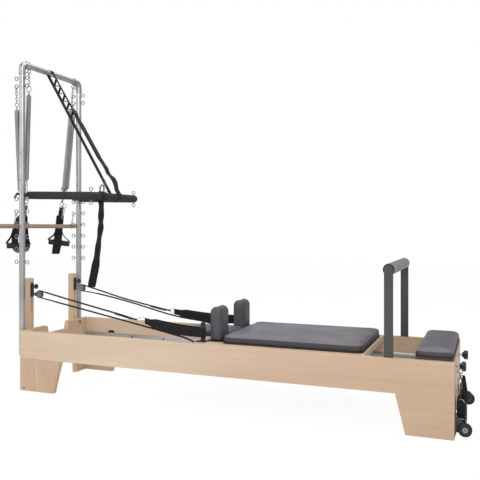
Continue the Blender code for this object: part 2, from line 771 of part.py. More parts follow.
def make_tower():
    arch_start = TOWER_TOP_Z - TOWER_BEND
    seam = arch_start - TOWER_SEAM
    for side, sign in sides():
        y = sign * UPRIGHT_Y
        bar = rod((UPRIGHT_X, y, UPRIGHT_FOOT), (UPRIGHT_X, y, seam - TOUCH), TUBE_RADIUS, 16)
        upright = add(f"upright_{side}", bar, STEEL)
        extras = []
        for z in eye_heights():
            for out in (X_AXIS, -X_AXIS):
                extras += eyebolt((UPRIGHT_X, y, z), out, Y_AXIS, EYE_REACH)
        combine(upright, "UNION", *extras)
        ends = [UPRIGHT_Y - TUBE_RADIUS - 0.01, UPRIGHT_Y + PUSH_PIN_DEPTH + TOUCH]
        bore = rod(*[(UPRIGHT_X, sign * y, PUSH_BAR_Z) for y in ends], PUSH_PIN_RADIUS + RUN, 12)
        combine(upright, "DIFFERENCE", bore)
    path = []
    for sign, start, stop in ((-1, 180, 90), (1, 90, 0)):
        centre = (UPRIGHT_X, sign * (UPRIGHT_Y - TOWER_BEND), arch_start)
        path += arc(centre, Y_AXIS, Z_AXIS, TOWER_BEND, start, stop, 5)
    path.insert(0, Vector((UPRIGHT_X, -UPRIGHT_Y, seam)))
    path.append(Vector((UPRIGHT_X, UPRIGHT_Y, seam)))
    top = add("tower_top_bar", swept(path, TUBE_RADIUS, X_AXIS, 16), STEEL)
    extras = []
    for sign in (-1, 1):
        for y in TOP_EYES_Y:
            root = (UPRIGHT_X, sign * y, TOWER_TOP_Z)
            extras += eyebolt(root, -Z_AXIS, Y_AXIS, EYE_REACH)
            extras.append(rod(root, (UPRIGHT_X, sign * y, TOWER_TOP_Z + TUBE_RADIUS + 0.009), 0.004, 4))
    combine(top, "UNION", *extras)


def make_risers():
    x = (RISER_FACE_X - RISER_DEPTH, RISER_FACE_X)
    middle = RISER_INNER + RISER_WIDTH / 2
    slot_half = SLIDE_BOLT_RADIUS + 0.0005
    for side, sign in sides():
        y = between(sign, RISER_INNER, RISER_INNER + RISER_WIDTH)
        riser = rounded(add(f"riser_{side}", block(x, y, (RISER_FOOT, RISER_TOP)), MAPLE), 0.003)
        slot_y = between(sign, middle - slot_half, middle + slot_half)
        slot_z = (SLIDE_BOLT_Z - SLIDE_DOWN - slot_half, SLIDE_BOLT_Z + SLIDE_UP + slot_half)
        combine(riser, "DIFFERENCE", block((x[0] - 0.01, x[1] + 0.01), slot_y, slot_z))


def make_pulleys():
    front = RISER_FACE_X + TOUCH
    back = RISER_FACE_X - RISER_DEPTH - TOUCH
    middle = RISER_INNER + RISER_WIDTH / 2
    cheek_inner = SHEAVE_HALF + 0.001
    cheek_outer = cheek_inner + CHEEK_THICK
    bridge_x = (PULLEY_X - SHEAVE_RADIUS - 0.011, PULLEY_X - SHEAVE_RADIUS - 0.003)
    for side, sign in sides():
        y = sign * middle
        axle = (PULLEY_X, y, PULLEY_Z)
        plate_x = (front, front + SLIDE_PLATE_THICK)
        plate = block(plate_x, (y - 0.015, y + 0.015), (SLIDE_PLATE_LOW, SLIDE_PLATE_HIGH))
        slider = rounded(add(f"pulley_slider_{side}", plate, PLASTIC, axle), 0.001)
        bolt = rod((back - 0.003, y, SLIDE_BOLT_Z), (front + 0.03, y, SLIDE_BOLT_Z), SLIDE_BOLT_RADIUS, 8)
        washer = turned((back - 0.003, y, SLIDE_BOLT_Z), X_AXIS, [(0, 0.010), (0.003, 0.010)], 8)
        knob_profile = [(0, 0.008), (0.008, 0.010), (0.009, 0.016), (0.017, 0.016), (0.020, 0.012)]
        knob = turned((front + 0.020, y, SLIDE_BOLT_Z), X_AXIS, knob_profile, 12)
        combine(slider, "UNION", bolt, washer, knob)
        outline = arc((PULLEY_X, PULLEY_Z, 0), X_AXIS, Y_AXIS, 0.018, -100, 100, 8)
        outline = [(p.x, p.y) for p in outline]
        outline += [(bridge_x[0], PULLEY_Z + 0.009), (bridge_x[0], PULLEY_Z - 0.009)]
        near_cheek = slab_y(outline, (y - cheek_outer, y - cheek_inner))
        pulley = add(f"pulley_block_{side}", near_cheek, STEEL, axle)
        far_cheek = slab_y(outline, (y + cheek_inner, y + cheek_outer))
        bridge = block(bridge_x, (y - cheek_outer, y + cheek_outer), (PULLEY_Z - 0.009, PULLEY_Z + 0.009))
        axle_ends = [(PULLEY_X, y + d, PULLEY_Z) for d in (-cheek_outer - 0.002, cheek_outer + 0.002)]
        stem = rod((plate_x[1] + TOUCH, y, PULLEY_Z), (bridge_x[0] + 0.002, y, PULLEY_Z), 0.005, 10)
        combine(pulley, "UNION", far_cheek, bridge, rod(*axle_ends, AXLE_RADIUS, 12), stem)
        groove = SHEAVE_HALF - SHEAVE_FLANGE
        profile = [
            (-SHEAVE_HALF, AXLE_RADIUS + RUN),
            (-SHEAVE_HALF, SHEAVE_RADIUS),
            (-groove, SHEAVE_RADIUS),
            (-groove, SHEAVE_GROOVE),
            (groove, SHEAVE_GROOVE),
            (groove, SHEAVE_RADIUS),
            (SHEAVE_HALF, SHEAVE_RADIUS),
            (SHEAVE_HALF, AXLE_RADIUS + RUN),
        ]
        add(f"pulley_sheave_{side}", turned_ring(axle, Y_AXIS, profile), PLASTIC, axle)


def push_bar_height(x):
    """The arm's height at x: it falls slightly from its pivot to the cross part."""
    share = (x - UPRIGHT_X) / (PUSH_BAR_X - UPRIGHT_X)
    return PUSH_BAR_Z + (PUSH_BAR_END_Z - PUSH_BAR_Z) * share


def make_push_bar():
    lean = Vector((PUSH_BAR_X - UPRIGHT_X, 0, PUSH_BAR_END_Z - PUSH_BAR_Z)).normalized()
    start = Vector((UPRIGHT_X, 0, PUSH_BAR_Z)) - PUSH_BAR_TAIL * lean
    corner = Vector((PUSH_BAR_X, 0, PUSH_BAR_END_Z)) - PUSH_BAR_BEND * lean
    offset = PUSH_BAR_HALF * Y_AXIS
    inset = (PUSH_BAR_HALF - PUSH_BAR_BEND) * Y_AXIS
    path = [start - offset]
    path += arc(corner - inset, lean, Y_AXIS, PUSH_BAR_BEND, -90, 0, 5)
    path += arc(corner + inset, lean, Y_AXIS, PUSH_BAR_BEND, 0, 90, 5)
    path.append(start + offset)
    up = lean.cross(Y_AXIS)
    pivot = (UPRIGHT_X, 0, PUSH_BAR_Z)
    bar = add("push_through_bar", swept(path, PUSH_BAR_RADIUS, up, 16), FOAM, pivot)
    extras = []
    for _, sign in sides():
        for x, out, reach in ((-0.80, 1, 0.040), (-0.80, -1, 0.040), (-1.0, 1, 0.040)):
            root = (x, sign * PUSH_BAR_HALF, push_bar_height(x))
            extras += eyebolt(root, out * Z_AXIS, Y_AXIS, reach)
        ends = [(UPRIGHT_X, sign * y, PUSH_BAR_Z) for y in (PUSH_BAR_HALF, UPRIGHT_Y + PUSH_PIN_DEPTH)]
        extras.append(rod(*ends, PUSH_PIN_RADIUS, 12))
    combine(bar, "UNION", *extras)


def make_straps():
    top = Vector((UPRIGHT_X, 0, TOWER_TOP_Z))
    low = Vector((PUSH_BAR_X, 0, PUSH_BAR_END_Z))
    along = (low - top).normalized()
    side = Y_AXIS.cross(along)
    run = (low - top).length
    top_radius = snug(TUBE_RADIUS + SAFETY_THICK / 2 + TOUCH, 180, 10)
    low_radius = snug(PUSH_BAR_RADIUS + SAFETY_THICK / 2 + TOUCH, 180, 10)
    path = arc(top, along, side, top_radius, 90, 270, 10)
    path += [top + along * run * k / 6 - side * (top_radius + (low_radius - top_radius) * k / 6) for k in range(1, 6)]
    path += arc(low, along, side, low_radius, -90, 90, 10)
    path += [low - along * run * k / 6 + side * (low_radius + (top_radius - low_radius) * k / 6) for k in range(1, 6)]
    add("safety_strap", ribbon(path, Y_AXIS, SAFETY_WIDTH, SAFETY_THICK, closed=True), WEBBING)
    radius = snug(PUSH_BAR_RADIUS + TAIL_THICK / 2 + TOUCH, 235, 12)
    centre = Vector((PUSH_BAR_X, TAIL_Y, PUSH_BAR_END_Z))
    path = arc(centre, X_AXIS, Z_AXIS, radius, -35, 200, 12)
    wave = [(-0.812, 1.06), (-0.802, 0.99), (-0.826, 0.90), (-0.812, 0.82), (-0.838, 0.73), (-0.860, 0.62)]
    tail = curve_through([path[-1], *[(x, TAIL_Y, z) for x, z in wave]], 3)
    path += tail[1:]
    add("hanging_strap", ribbon(path, Y_AXIS, TAIL_WIDTH, TAIL_THICK), WEBBING, centre)


def least_gap(path, radius, skip):
    """The least distance between stretches of one wire that are more than skip points apart."""
    points = np.array([list(p) for p in path])
    apart = np.linalg.norm(points[:, None] - points[None], axis=2)
    index = np.arange(len(points))
    far = np.abs(index[:, None] - index[None]) > skip
    return float(apart[far].min()) - 2 * radius


def square_to(side, axis):
    """The part of side that is square to axis, as a unit vector."""
    return (Vector(side) - Vector(side).dot(axis) * axis).normalized()


def spring(name, start, coil_start, coil_stop, stop, side, curls, radius, loop):
    """One unbroken wire: a loop at start, a coil between two points, a loop at stop."""
    start, coil_start, coil_stop, stop = (Vector(p) for p in (start, coil_start, coil_stop, stop))
    axis = (coil_stop - coil_start).normalized()
    side = square_to(side, axis)
    third = axis.cross(side)
    lead = (coil_start - start).normalized()
    trail = (coil_stop - stop).normalized()
    per_curl = 8
    path = arc(start, lead, square_to(side, lead), loop, 50, 320, 6)
    for i in range(curls * per_curl + 1):
        turn = 2 * math.pi * i / per_curl
        middle = coil_start.lerp(coil_stop, i / (curls * per_curl))
        path.append(middle + radius * (math.cos(turn) * side + math.sin(turn) * third))
    path += arc(stop, trail, -square_to(side, trail), loop, 50, 320, 6)[::-1]
    print(f"{name}: least gap to itself {1000 * least_gap(path, SPRING_WIRE, 4):.2f} mm")
    tube(name, path, SPRING_WIRE, STEEL, 0)


def make_carriage_springs():
    bar_loop = SPRING_BAR_RADIUS + SPRING_WIRE + HOOK_SLACK
    for i, y in enumerate(CARRIAGE_SPRING_YS, 1):
        xs = (SPRING_BAR_X, SPRING_BAR_X - 0.05, HOOK_ROD_X + 0.05, HOOK_ROD_X)
        places = [(x, y, SPRING_BAR_Z) for x in xs]
        spring(
            f"carriage_spring_{i}", *places, Z_AXIS, CARRIAGE_SPRING_CURLS, CARRIAGE_SPRING_RADIUS, bar_loop
        )


def loop_under(eye):
    """The centre of a wire loop that hangs in an eyebolt whose ring is centred at eye."""
    slack = EYE_RING - EYE_WIRE - SPRING_WIRE - HOOK_SLACK
    return Vector(eye) - (slack + SPRING_LOOP) * Z_AXIS


def make_tower_springs():
    """Each side has one spring from the top bar and one from its upright, drawn together at a handle."""
    hang = HANDLE_RING - EYE_WIRE - SPRING_WIRE - HOOK_SLACK
    for side, sign, ring_y, coils in (
        ("near", -1, HANDLE_NEAR_Y, NEAR_COILS),
        ("far", 1, HANDLE_FAR_Y, FAR_COILS),
    ):
        top_eye = (UPRIGHT_X, sign * TOP_EYES_Y[0], TOWER_TOP_Z - EYE_REACH)
        side_eye = (UPRIGHT_X - EYE_REACH, sign * UPRIGHT_Y, UPPER_EYES[1])
        for place, eye, shift, coil in (("inner", top_eye, 0.0035, coils[0]), ("outer", side_eye, -0.0035, coils[1])):
            stop = (HANDLE_RING_X + shift, ring_y, HANDLE_RING_Z + hang + SPRING_LOOP)
            coil_top = (UPRIGHT_X + coil[0][0], coil[0][1], TOWER_TOP_Z - coil[0][2])
            coil_foot = (UPRIGHT_X + coil[1][0], coil[1][1], HANDLE_RING_Z + coil[1][2])
            spring(
                f"tower_spring_{side}_{place}", loop_under(eye), coil_top, coil_foot, stop, Y_AXIS,
                TOWER_SPRING_CURLS, TOWER_SPRING_RADIUS, SPRING_LOOP,
            )


def make_handle(side, ring_y, low_y, strap_top):
    """A ring, a wide loop of webbing that hangs behind the wooden bar, and a grip on two narrow straps."""
    ring = Vector((HANDLE_RING_X, ring_y, HANDLE_RING_Z))
    pivot = ring + Vector((0, 0, HANDLE_RING - EYE_WIRE))
    low = Vector((HANDLE_BACK_X, low_y, HANDLE_GRIP_Z))
    knee = Vector((HANDLE_BACK_X, ring_y + (low_y - ring_y) * 0.7, DOWEL_Z + 0.035))
    top = ring - (HANDLE_RING + 0.002) * Z_AXIS
    foot = Vector((low.x, low.y, HANDLE_WEB_LOW))
    path = curve_through([top, knee, low, foot], 5)
    obj = add(f"handle_{side}", ribbon(path, HANDLE_SIDE, HANDLE_WEB_WIDTH, HANDLE_WEB_THICK), WEBBING, pivot)
    extras = [torus(ring, Y_AXIS, HANDLE_RING, EYE_WIRE, 12, 4)]
    half = HANDLE_GRIP_LENGTH / 2 * HANDLE_SIDE
    front = Vector((HANDLE_SIDE.y, -HANDLE_SIDE.x, 0))
    grip = low + front * GRIP_FORWARD
    extras.append(rod(grip - half, grip + half, HANDLE_GRIP_RADIUS, 12))
    apex = Vector((low.x, low.y, strap_top)) + front * 0.001
    for sign in (-1, 1):
        end = grip + sign * half * 0.9
        extras.append(ribbon([apex, end + Vector((0, 0, -0.004))], HANDLE_SIDE, 0.014, 0.003))
    combine(obj, "UNION", *extras)


def make_handles():
    make_handle("near", HANDLE_NEAR_Y, -0.186, 1.020)
    make_handle("far", HANDLE_FAR_Y, 0.205, 0.975)


def make_roll_down_bar():
    near_y = DOWEL_FAR_Y - DOWEL_LENGTH
    ferrule = 0.022
    profile = [
        (0, DOWEL_RADIUS - 0.003),
        (0.003, DOWEL_RADIUS),
        (ferrule, DOWEL_RADIUS),
        (ferrule, DOWEL_RADIUS - 0.001),
        (DOWEL_LENGTH - ferrule, DOWEL_RADIUS - 0.001),
        (DOWEL_LENGTH - ferrule, DOWEL_RADIUS),
        (DOWEL_LENGTH - 0.003, DOWEL_RADIUS),
        (DOWEL_LENGTH, DOWEL_RADIUS - 0.003),
    ]
    eye_x = UPRIGHT_X - EYE_REACH
    eye_z = LOWER_EYES_TOP - LOWER_EYES_PITCH
    hang_z = eye_z - (EYE_RING - EYE_WIRE - DOWEL_HANGER_WIRE - TOUCH)
    pivot = Vector((eye_x, 0, hang_z))
    bar = turned((DOWEL_X, near_y, DOWEL_Z), Y_AXIS, profile, 16)
    dowel = add("roll_down_bar", bar, DOWEL_WOOD, pivot)
    extras = []
    for _, sign in sides():
        hook = Vector((eye_x, sign * UPRIGHT_Y, hang_z))
        seat = Vector((DOWEL_X, sign * UPRIGHT_Y, DOWEL_Z))
        fall = (seat - hook).normalized()
        ring = 0.008
        extras.append(torus(hook + fall * ring, fall.cross(Y_AXIS), ring, DOWEL_HANGER_WIRE, 8, 4))
        extras.append(rod(hook + fall * (2 * ring - 0.001), seat - fall * (DOWEL_RADIUS - 0.004), DOWEL_HANGER_WIRE, 4))
    combine(dowel, "UNION", *extras)


def make_ropes():
    pitch = snug(SHEAVE_GROOVE + ROPE_RADIUS + TOUCH, 203, 8)
    end_x = CARRIAGE_HEAD_X - CLEAT_LENGTH - TOUCH
    for side, sign in sides():
        y = sign * ROPE_Y
        axle = Vector((PULLEY_X, y, PULLEY_Z))
        wrap = arc(axle, X_AXIS, Z_AXIS, pitch, 78, 281, 8)
        upper = curve_through(
            [
                (ROPE_END_X, sign * ROPE_END_Y, ROPE_END_Z),
                (-0.62, sign * (ROPE_END_Y + 0.001), 0.4755),
                (-0.86, sign * (ROPE_END_Y + 0.004), 0.5245),
                (-1.06, sign * (ROPE_Y - 0.001), 0.5668),
                wrap[0],
            ],
            2,
        )
        lower = curve_through(
            [
                wrap[-1],
                (-1.06, y, 0.5265),
                (-0.82, sign * (ROPE_Y + 0.004), 0.480),
                (-0.50, sign * (ROPE_Y + 0.010), 0.417),
                (-0.26, sign * (CLEAT_Y - 0.001), 0.3695),
                (end_x - 0.03, sign * CLEAT_Y, 0.3470),
                (end_x, sign * CLEAT_Y, CLEAT_Z),
            ],
            2,
        )
        tube(f"rope_{side}", [*upper, *wrap[1:-1], *lower], ROPE_RADIUS, WEBBING, 2)


def make_foot_loops():
    reach = snug(POST_RADIUS + LOOP_THICK / 2 + TOUCH, 180, 8)
    for side, sign in sides():
        post = Vector((POST_X, sign * POST_Y, 0.432))
        ring = Vector((LOOP_RING_X, sign * ROPE_END_Y, 0.450))
        back = arc(post, X_AXIS, Y_AXIS, reach, -90, 90, 8)
        far_run = [post + (ring - post) * k / 6 + Vector((0, reach * (1 - k / 6) + 0.004, 0)) for k in range(1, 6)]
        turn = [ring + Vector((0.006, 0.004, 0)), ring + Vector((0, 0, 0)), ring + Vector((0.006, -0.004, 0))]
        near_run = [post + (ring - post) * k / 6 - Vector((0, reach * (1 - k / 6) + 0.004, 0)) for k in range(5, 0, -1)]
        band = ribbon([*back, *far_run, *turn, *near_run], Z_AXIS, LOOP_WIDTH, LOOP_THICK, closed=True)
        loop = add(f"foot_loop_{side}", band, WEBBING)
        clip_x = ROPE_END_X + 3 * TOUCH
        clip = turned((clip_x, ring.y, ROPE_END_Z), X_AXIS, [(0, 0.004), (0.004, 0.006), (0.018, 0.006), (0.020, 0.003)], 10)
        bar = rod((ring.x, ring.y, ring.z - 0.030), (ring.x, ring.y, ring.z + 0.030), 0.0028, 8)
        arms = [rod((ring.x, ring.y, ring.z + s * 0.028), (clip_x + 0.016, ring.y, ROPE_END_Z), 0.0026, 8) for s in (-1, 1)]
        combine(loop, "UNION", clip, bar, *arms)


def make_foot_end():
    face = HALF_LENGTH
    profile = [
        (TOUCH, 0.004),
        (0.014, 0.004),
        (0.014, 0.012),
        (0.030, 0.013),
        (0.030, 0.021),
        (0.040, 0.021),
        (0.042, 0.018),
    ]
    for side, sign in sides():
        place = (face, sign * KNOB_Y, KNOB_Z)
        add(f"foot_knob_{side}", turned(place, X_AXIS, profile, 14), PLASTIC, place)
        axle = Vector((WHEEL_X, sign * WHEEL_Y, WHEEL_Z))
        cheek_y = between(sign, WHEEL_Y - WHEEL_WIDTH / 2 - 0.006, WHEEL_Y - WHEEL_WIDTH / 2 - 0.001)
        plate = block((face + TOUCH, face + 0.005), between(sign, 0.262, 0.318), (0.020, 0.120))
        bracket = rounded(add(f"wheel_bracket_{side}", plate, PLASTIC), 0.001)
        outline = [(face + 0.002, 0.024), (face + 0.002, 0.100), (face + 0.022, 0.090)]
        outline += [(p.x, p.y) for p in arc((axle.x, axle.z, 0), X_AXIS, Y_AXIS, 0.014, 50, -90, 6)]
        pin = rod(*[(axle.x, sign * r, axle.z) for r in (WHEEL_Y - WHEEL_WIDTH / 2 - 0.003, WHEEL_Y + WHEEL_WIDTH / 2)], 0.005, 12)
        combine(bracket, "UNION", slab_y(outline, cheek_y), pin)
        half = WHEEL_WIDTH / 2
        wheel = [
            (-half, 0.005 + RUN),
            (-half, WHEEL_RADIUS - 0.005),
            (-half + 0.004, WHEEL_RADIUS),
            (half - 0.004, WHEEL_RADIUS),
            (half, WHEEL_RADIUS - 0.005),
            (half, 0.005 + RUN),
        ]
        add(f"transport_wheel_{side}", turned_ring(axle, Y_AXIS, wheel, 20), RUBBER, axle)


def make_strap_set():
    """Spare straps that hang on an eye at the foot end: a hook, a padded bundle and a cone of webbing."""
    face = HALF_LENGTH
    eye_x = face + 0.020
    board = bpy.data.objects["foot_end_board"]
    combine(board, "UNION", *eyebolt((face - 0.010, SET_Y, SET_HOOK_Z), X_AXIS, Y_AXIS, 0.030))
    slack = EYE_RING - EYE_WIRE - 0.0022 - TOUCH * 2
    pivot = Vector((eye_x, SET_Y, SET_HOOK_Z - slack))
    ring = 0.012
    bundle_x = (face + 0.008, face + 0.046)
    bundle = cushion(bundle_x, (SET_Y - 0.060, SET_Y + 0.060), (0.062, 0.205), 0.012, 0.010, 0.004)
    obj = add("spare_strap_set", bundle, WEBBING, pivot)
    hook_path = [pivot - Vector((0, 0, 2 * ring - 0.001)), Vector((eye_x, SET_Y, 0.19))]
    extras = [
        torus(pivot - ring * Z_AXIS, X_AXIS, ring, 0.0022, 10, 5),
        rod(*hook_path, 0.003, 8),
        ribbon(
            curve_through([(eye_x + 0.002, SET_Y, 0.262), (face + 0.042, SET_Y, 0.215), (face + 0.058, SET_Y, 0.160)], 3),
            Y_AXIS, 0.045, 0.006,
        ),
        turned((face + 0.058, SET_Y - 0.012, 0.196), Y_AXIS, [(0, 0.016), (0.024, 0.016)], 12),
    ]
    combine(obj, "UNION", *extras)


make_rails()
make_head_legs()
make_end_boards()
make_tracks()
make_spring_bar()
make_platform()
make_carriage()
make_rollers()
make_headrest()
make_shoulder_rests()
make_loop_posts()
make_footbar()
make_tower()
make_risers()
make_pulleys()
make_push_bar()
make_straps()
make_carriage_springs()
make_tower_springs()
make_handles()
make_roll_down_bar()
make_ropes()
make_foot_loops()
make_foot_end()
make_strap_set()
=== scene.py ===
import math

import bmesh
import bpy
from mathutils import Matrix, Vector


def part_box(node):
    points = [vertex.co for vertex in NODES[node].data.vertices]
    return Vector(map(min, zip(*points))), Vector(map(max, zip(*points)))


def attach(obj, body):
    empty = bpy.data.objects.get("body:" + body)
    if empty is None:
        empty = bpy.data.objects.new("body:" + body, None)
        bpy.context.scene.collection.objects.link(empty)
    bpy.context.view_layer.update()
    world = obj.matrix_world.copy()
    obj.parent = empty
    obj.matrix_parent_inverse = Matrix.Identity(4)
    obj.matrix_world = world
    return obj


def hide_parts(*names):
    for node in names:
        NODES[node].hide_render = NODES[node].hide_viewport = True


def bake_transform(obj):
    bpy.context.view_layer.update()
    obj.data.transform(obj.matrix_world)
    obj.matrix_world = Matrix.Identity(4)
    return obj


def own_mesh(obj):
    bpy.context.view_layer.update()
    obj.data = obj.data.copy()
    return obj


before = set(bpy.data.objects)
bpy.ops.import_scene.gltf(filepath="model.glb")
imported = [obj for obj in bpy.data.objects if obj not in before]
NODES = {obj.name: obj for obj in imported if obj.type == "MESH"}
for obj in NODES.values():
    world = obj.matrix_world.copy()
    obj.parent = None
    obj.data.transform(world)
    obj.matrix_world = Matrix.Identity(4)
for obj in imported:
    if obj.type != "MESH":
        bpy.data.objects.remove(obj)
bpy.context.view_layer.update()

X_AXIS = Vector((1, 0, 0))
Y_AXIS = Vector((0, 1, 0))
Z_AXIS = Vector((0, 0, 1))

# Every place below is measured from the middle of the wooden frame, at floor level.
near_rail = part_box("side_rail_near")
far_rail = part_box("side_rail_far")
MIDDLE = Vector(((near_rail[0].x + near_rail[1].x) / 2, (near_rail[0].y + far_rail[1].y) / 2, 0))

# The gap that keeps neighbouring pieces apart
GAP = 0.0003

# Frame and carriage
HALF_LENGTH = 1.25
HALF_WIDTH = 0.33
RAIL_THICK = 0.030
CARRIAGE_TOP = 0.3605

# Tower
TUBE_RADIUS = 0.018
UPRIGHT_X = -1.2683
UPRIGHT_Y = 0.2876
UPRIGHT_FOOT = 0.205
TOWER_TOP = 1.9906
TOWER_BEND = 0.030
TOWER_SEAM = TOWER_TOP - TOWER_BEND - 0.015
ELBOW_LENGTH = 0.064
EYE_REACH = 0.034
EYE_REACH_BACK = 0.044
EYE_REACH_FRONT = 0.038
EYE_RING = 0.0115
EYE_WIRE = 0.0026
TOP_EYES_Y = (0.224, 0.250)
EYE_PITCH = 0.0777
LOWER_EYES = 6
EYE_HEIGHTS = [1.903, 1.854] + [1.162 - EYE_PITCH * i for i in range(LOWER_EYES)]
HOLE_HEIGHT = 1.277
HOLE_PITCH = 0.0835
HOLES = 3

# Push-through bar
PUSH_Z = 1.186
PUSH_END_Z = 1.174
PUSH_X = -0.778
PUSH_RADIUS = 0.024
PUSH_HALF = 0.2415
PUSH_BEND = 0.045
PUSH_EYES = ((-0.80, 1), (-0.80, -1), (-1.0, 1))
PUSH_EYE_REACH = 0.040
FAR_BARE = 0.034

# Footbar
FOOTBAR_X = 0.948
FOOTBAR_PIVOT = 0.300
FOOTBAR_TOP = 0.783
FOOTBAR_Y = 0.312
FOOTBAR_WIDTH = 0.043
FOOTBAR_THICK = 0.012
GRIP_RADIUS = 0.0295

# Pulleys and ropes
PULLEY_X = -1.190
PULLEY_Z = 0.573
PULLEY_Y = 0.220
ROPE_RADIUS = 0.0040
POST_X = -0.059
POST_Y = 0.262
POST_TOP = 0.467


# Meshes
SHARP_ANGLE = 38
SOFT_EDGE = 0.35


def as_mesh(bm, name):
    mesh = bpy.data.meshes.new(name)
    bm.to_mesh(mesh)
    bm.free()
    return mesh


def new_object(name, data):
    obj = bpy.data.objects.new(name, data)
    bpy.context.scene.collection.objects.link(obj)
    return obj


def evaluated(obj):
    """A plain mesh of what an object's modifiers make."""
    graph = bpy.context.evaluated_depsgraph_get()
    graph.update()
    return bpy.data.meshes.new_from_object(obj.evaluated_get(graph), depsgraph=graph)


def loft(rings, closed=False):
    """A skin through rings of equally many points, with a UV map in metres: across, along."""
    bm = bmesh.new()
    uv = bm.loops.layers.uv.new("along")
    rows = [[bm.verts.new(p) for p in ring] for ring in rings]
    count = len(rows[0])
    lengths = [0.0]
    for low, high in zip(rings, rings[1:]):
        middle_low = sum((Vector(p) for p in low), Vector()) / count
        middle_high = sum((Vector(p) for p in high), Vector()) / count
        lengths.append(lengths[-1] + (middle_high - middle_low).length)
    girth = [0.0]
    widest = max(rings, key=lambda ring: (Vector(ring[0]) - Vector(ring[count // 2])).length)
    for i in range(count):
        girth.append(girth[-1] + (Vector(widest[(i + 1) % count]) - Vector(widest[i])).length)
    steps = list(range(len(rows) - 1))
    if closed:
        steps.append(len(rows) - 1)
    for k in steps:
        low, high = rows[k], rows[(k + 1) % len(rows)]
        top = lengths[k + 1] if k + 1 < len(lengths) else lengths[k] + 0.01
        for i in range(count):
            j = (i + 1) % count
            face = bm.faces.new((low[i], low[j], high[j], high[i]))
            face.smooth = True
            corners = (
                (girth[i], lengths[k]), (girth[i + 1], lengths[k]), (girth[i + 1], top), (girth[i], top),
            )
            for corner, place in zip(face.loops, corners):
                corner[uv].uv = place
    if not closed:
        bm.faces.new(rows[0][::-1])
        bm.faces.new(rows[-1])
    bmesh.ops.recalc_face_normals(bm, faces=bm.faces)
    mesh = as_mesh(bm, "loft")
    mesh.set_sharp_from_angle(angle=math.radians(SHARP_ANGLE))
    return mesh


def frame_about(axis):
    axis = Vector(axis).normalized()
    helper = Z_AXIS if abs(axis.z) < 0.9 else X_AXIS
    side = axis.cross(helper).normalized()
    return axis, side, axis.cross(side)


def square_to(way, tangent):
    """The part of a direction that stands square to a tangent."""
    return (way - way.dot(tangent) * tangent).normalized()


def circle(centre, u, v, radius, count):
    turns = [2 * math.pi * i / count for i in range(count)]
    return [centre + radius * (math.cos(t) * u + math.sin(t) * v) for t in turns]


def turned(centre, axis, profile, count=32):
    """A turned solid from (distance along the axis, radius) pairs."""
    axis, u, v = frame_about(axis)
    return loft([circle(Vector(centre) + d * axis, u, v, r, count) for d, r in profile])


def turned_ring(centre, axis, profile, count=40):
    """A turned ring with a bore: the profile is a closed outline of (distance, radius) pairs."""
    axis, u, v = frame_about(axis)
    rings = []
    for i in range(count):
        t = 2 * math.pi * i / count
        out = math.cos(t) * u + math.sin(t) * v
        rings.append([Vector(centre) + d * axis + r * out for d, r in profile])
    return loft(rings, closed=True)


def torus(centre, axis, ring, gauge, around=28, across=8):
    """A wire ring; gauge is the wire's radius."""
    axis, u, v = frame_about(axis)
    rings = []
    for i in range(around):
        t = 2 * math.pi * i / around
        out = math.cos(t) * u + math.sin(t) * v
        rings.append(circle(Vector(centre) + ring * out, out, axis, gauge, across))
    return loft(rings, closed=True)


def tangents_of(path, closed):
    count = len(path)
    found = []
    for i in range(count):
        before = path[i - 1] if i or closed else path[0]
        after = path[(i + 1) % count] if i < count - 1 or closed else path[-1]
        found.append((after - before).normalized())
    return found


def per_point(value, count):
    return value if isinstance(value, list) else [value] * count


def wire(path, radius, sides=10, closed=False):
    """A round wire along any path; the ring is carried along without twisting."""
    path = [Vector(p) for p in path]
    tangents = tangents_of(path, closed)
    side = frame_about(tangents[0])[1]
    rings = []
    for point, tangent, r in zip(path, tangents, per_point(radius, len(path))):
        side = square_to(side, tangent)
        rings.append(circle(point, side, tangent.cross(side), r, sides))
    return loft(rings, closed=closed)


def ribbon(path, across, width, thick, closed=False):
    """Webbing along a path, with soft edges; across and width may change along the path."""
    path = [Vector(p) for p in path]
    ways = per_point(across, len(path))
    widths = per_point(width, len(path))
    rings = []
    for point, tangent, way, full in zip(path, tangents_of(path, closed), ways, widths):
        wide = square_to(Vector(way), tangent)
        deep = tangent.cross(wide).normalized()
        w, t = full / 2, thick / 2
        inner = w - thick * SOFT_EDGE
        outline = [(-inner, -t), (0, -t), (inner, -t), (w, 0), (inner, t), (0, t), (-inner, t), (-w, 0)]
        rings.append([point + a * wide + b * deep for a, b in outline])
    return loft(rings, closed=closed)


def arc(centre, u, v, radius, start, stop, steps):
    turns = [math.radians(start + (stop - start) * i / steps) for i in range(steps + 1)]
    return [Vector(centre) + radius * (math.cos(t) * Vector(u) + math.sin(t) * Vector(v)) for t in turns]


def curve_through(points, steps):
    """A smooth curve through given points."""
    points = [Vector(p) for p in points]
    ends = [2 * points[0] - points[1], *points, 2 * points[-1] - points[-2]]
    found = []
    for a, b, c, d in zip(ends, ends[1:], ends[2:], ends[3:]):
        for i in range(steps):
            t = i / steps
            bend = (2 * a - 5 * b + 4 * c - d) * t**2 + (3 * b - a - 3 * c + d) * t**3
            found.append(0.5 * (2 * b + (c - a) * t + bend))
    found.append(points[-1])
    return found


def rounded_outline(half_x, half_y, corner, steps=6):
    points = []
    for sx, sy, start in ((1, 1, 0), (-1, 1, 90), (-1, -1, 180), (1, -1, 270)):
        centre = Vector((sx * (half_x - corner), sy * (half_y - corner), 0))
        points += arc(centre, X_AXIS, Y_AXIS, corner, start, start + 90, steps)
    return [(p.x, p.y) for p in points]


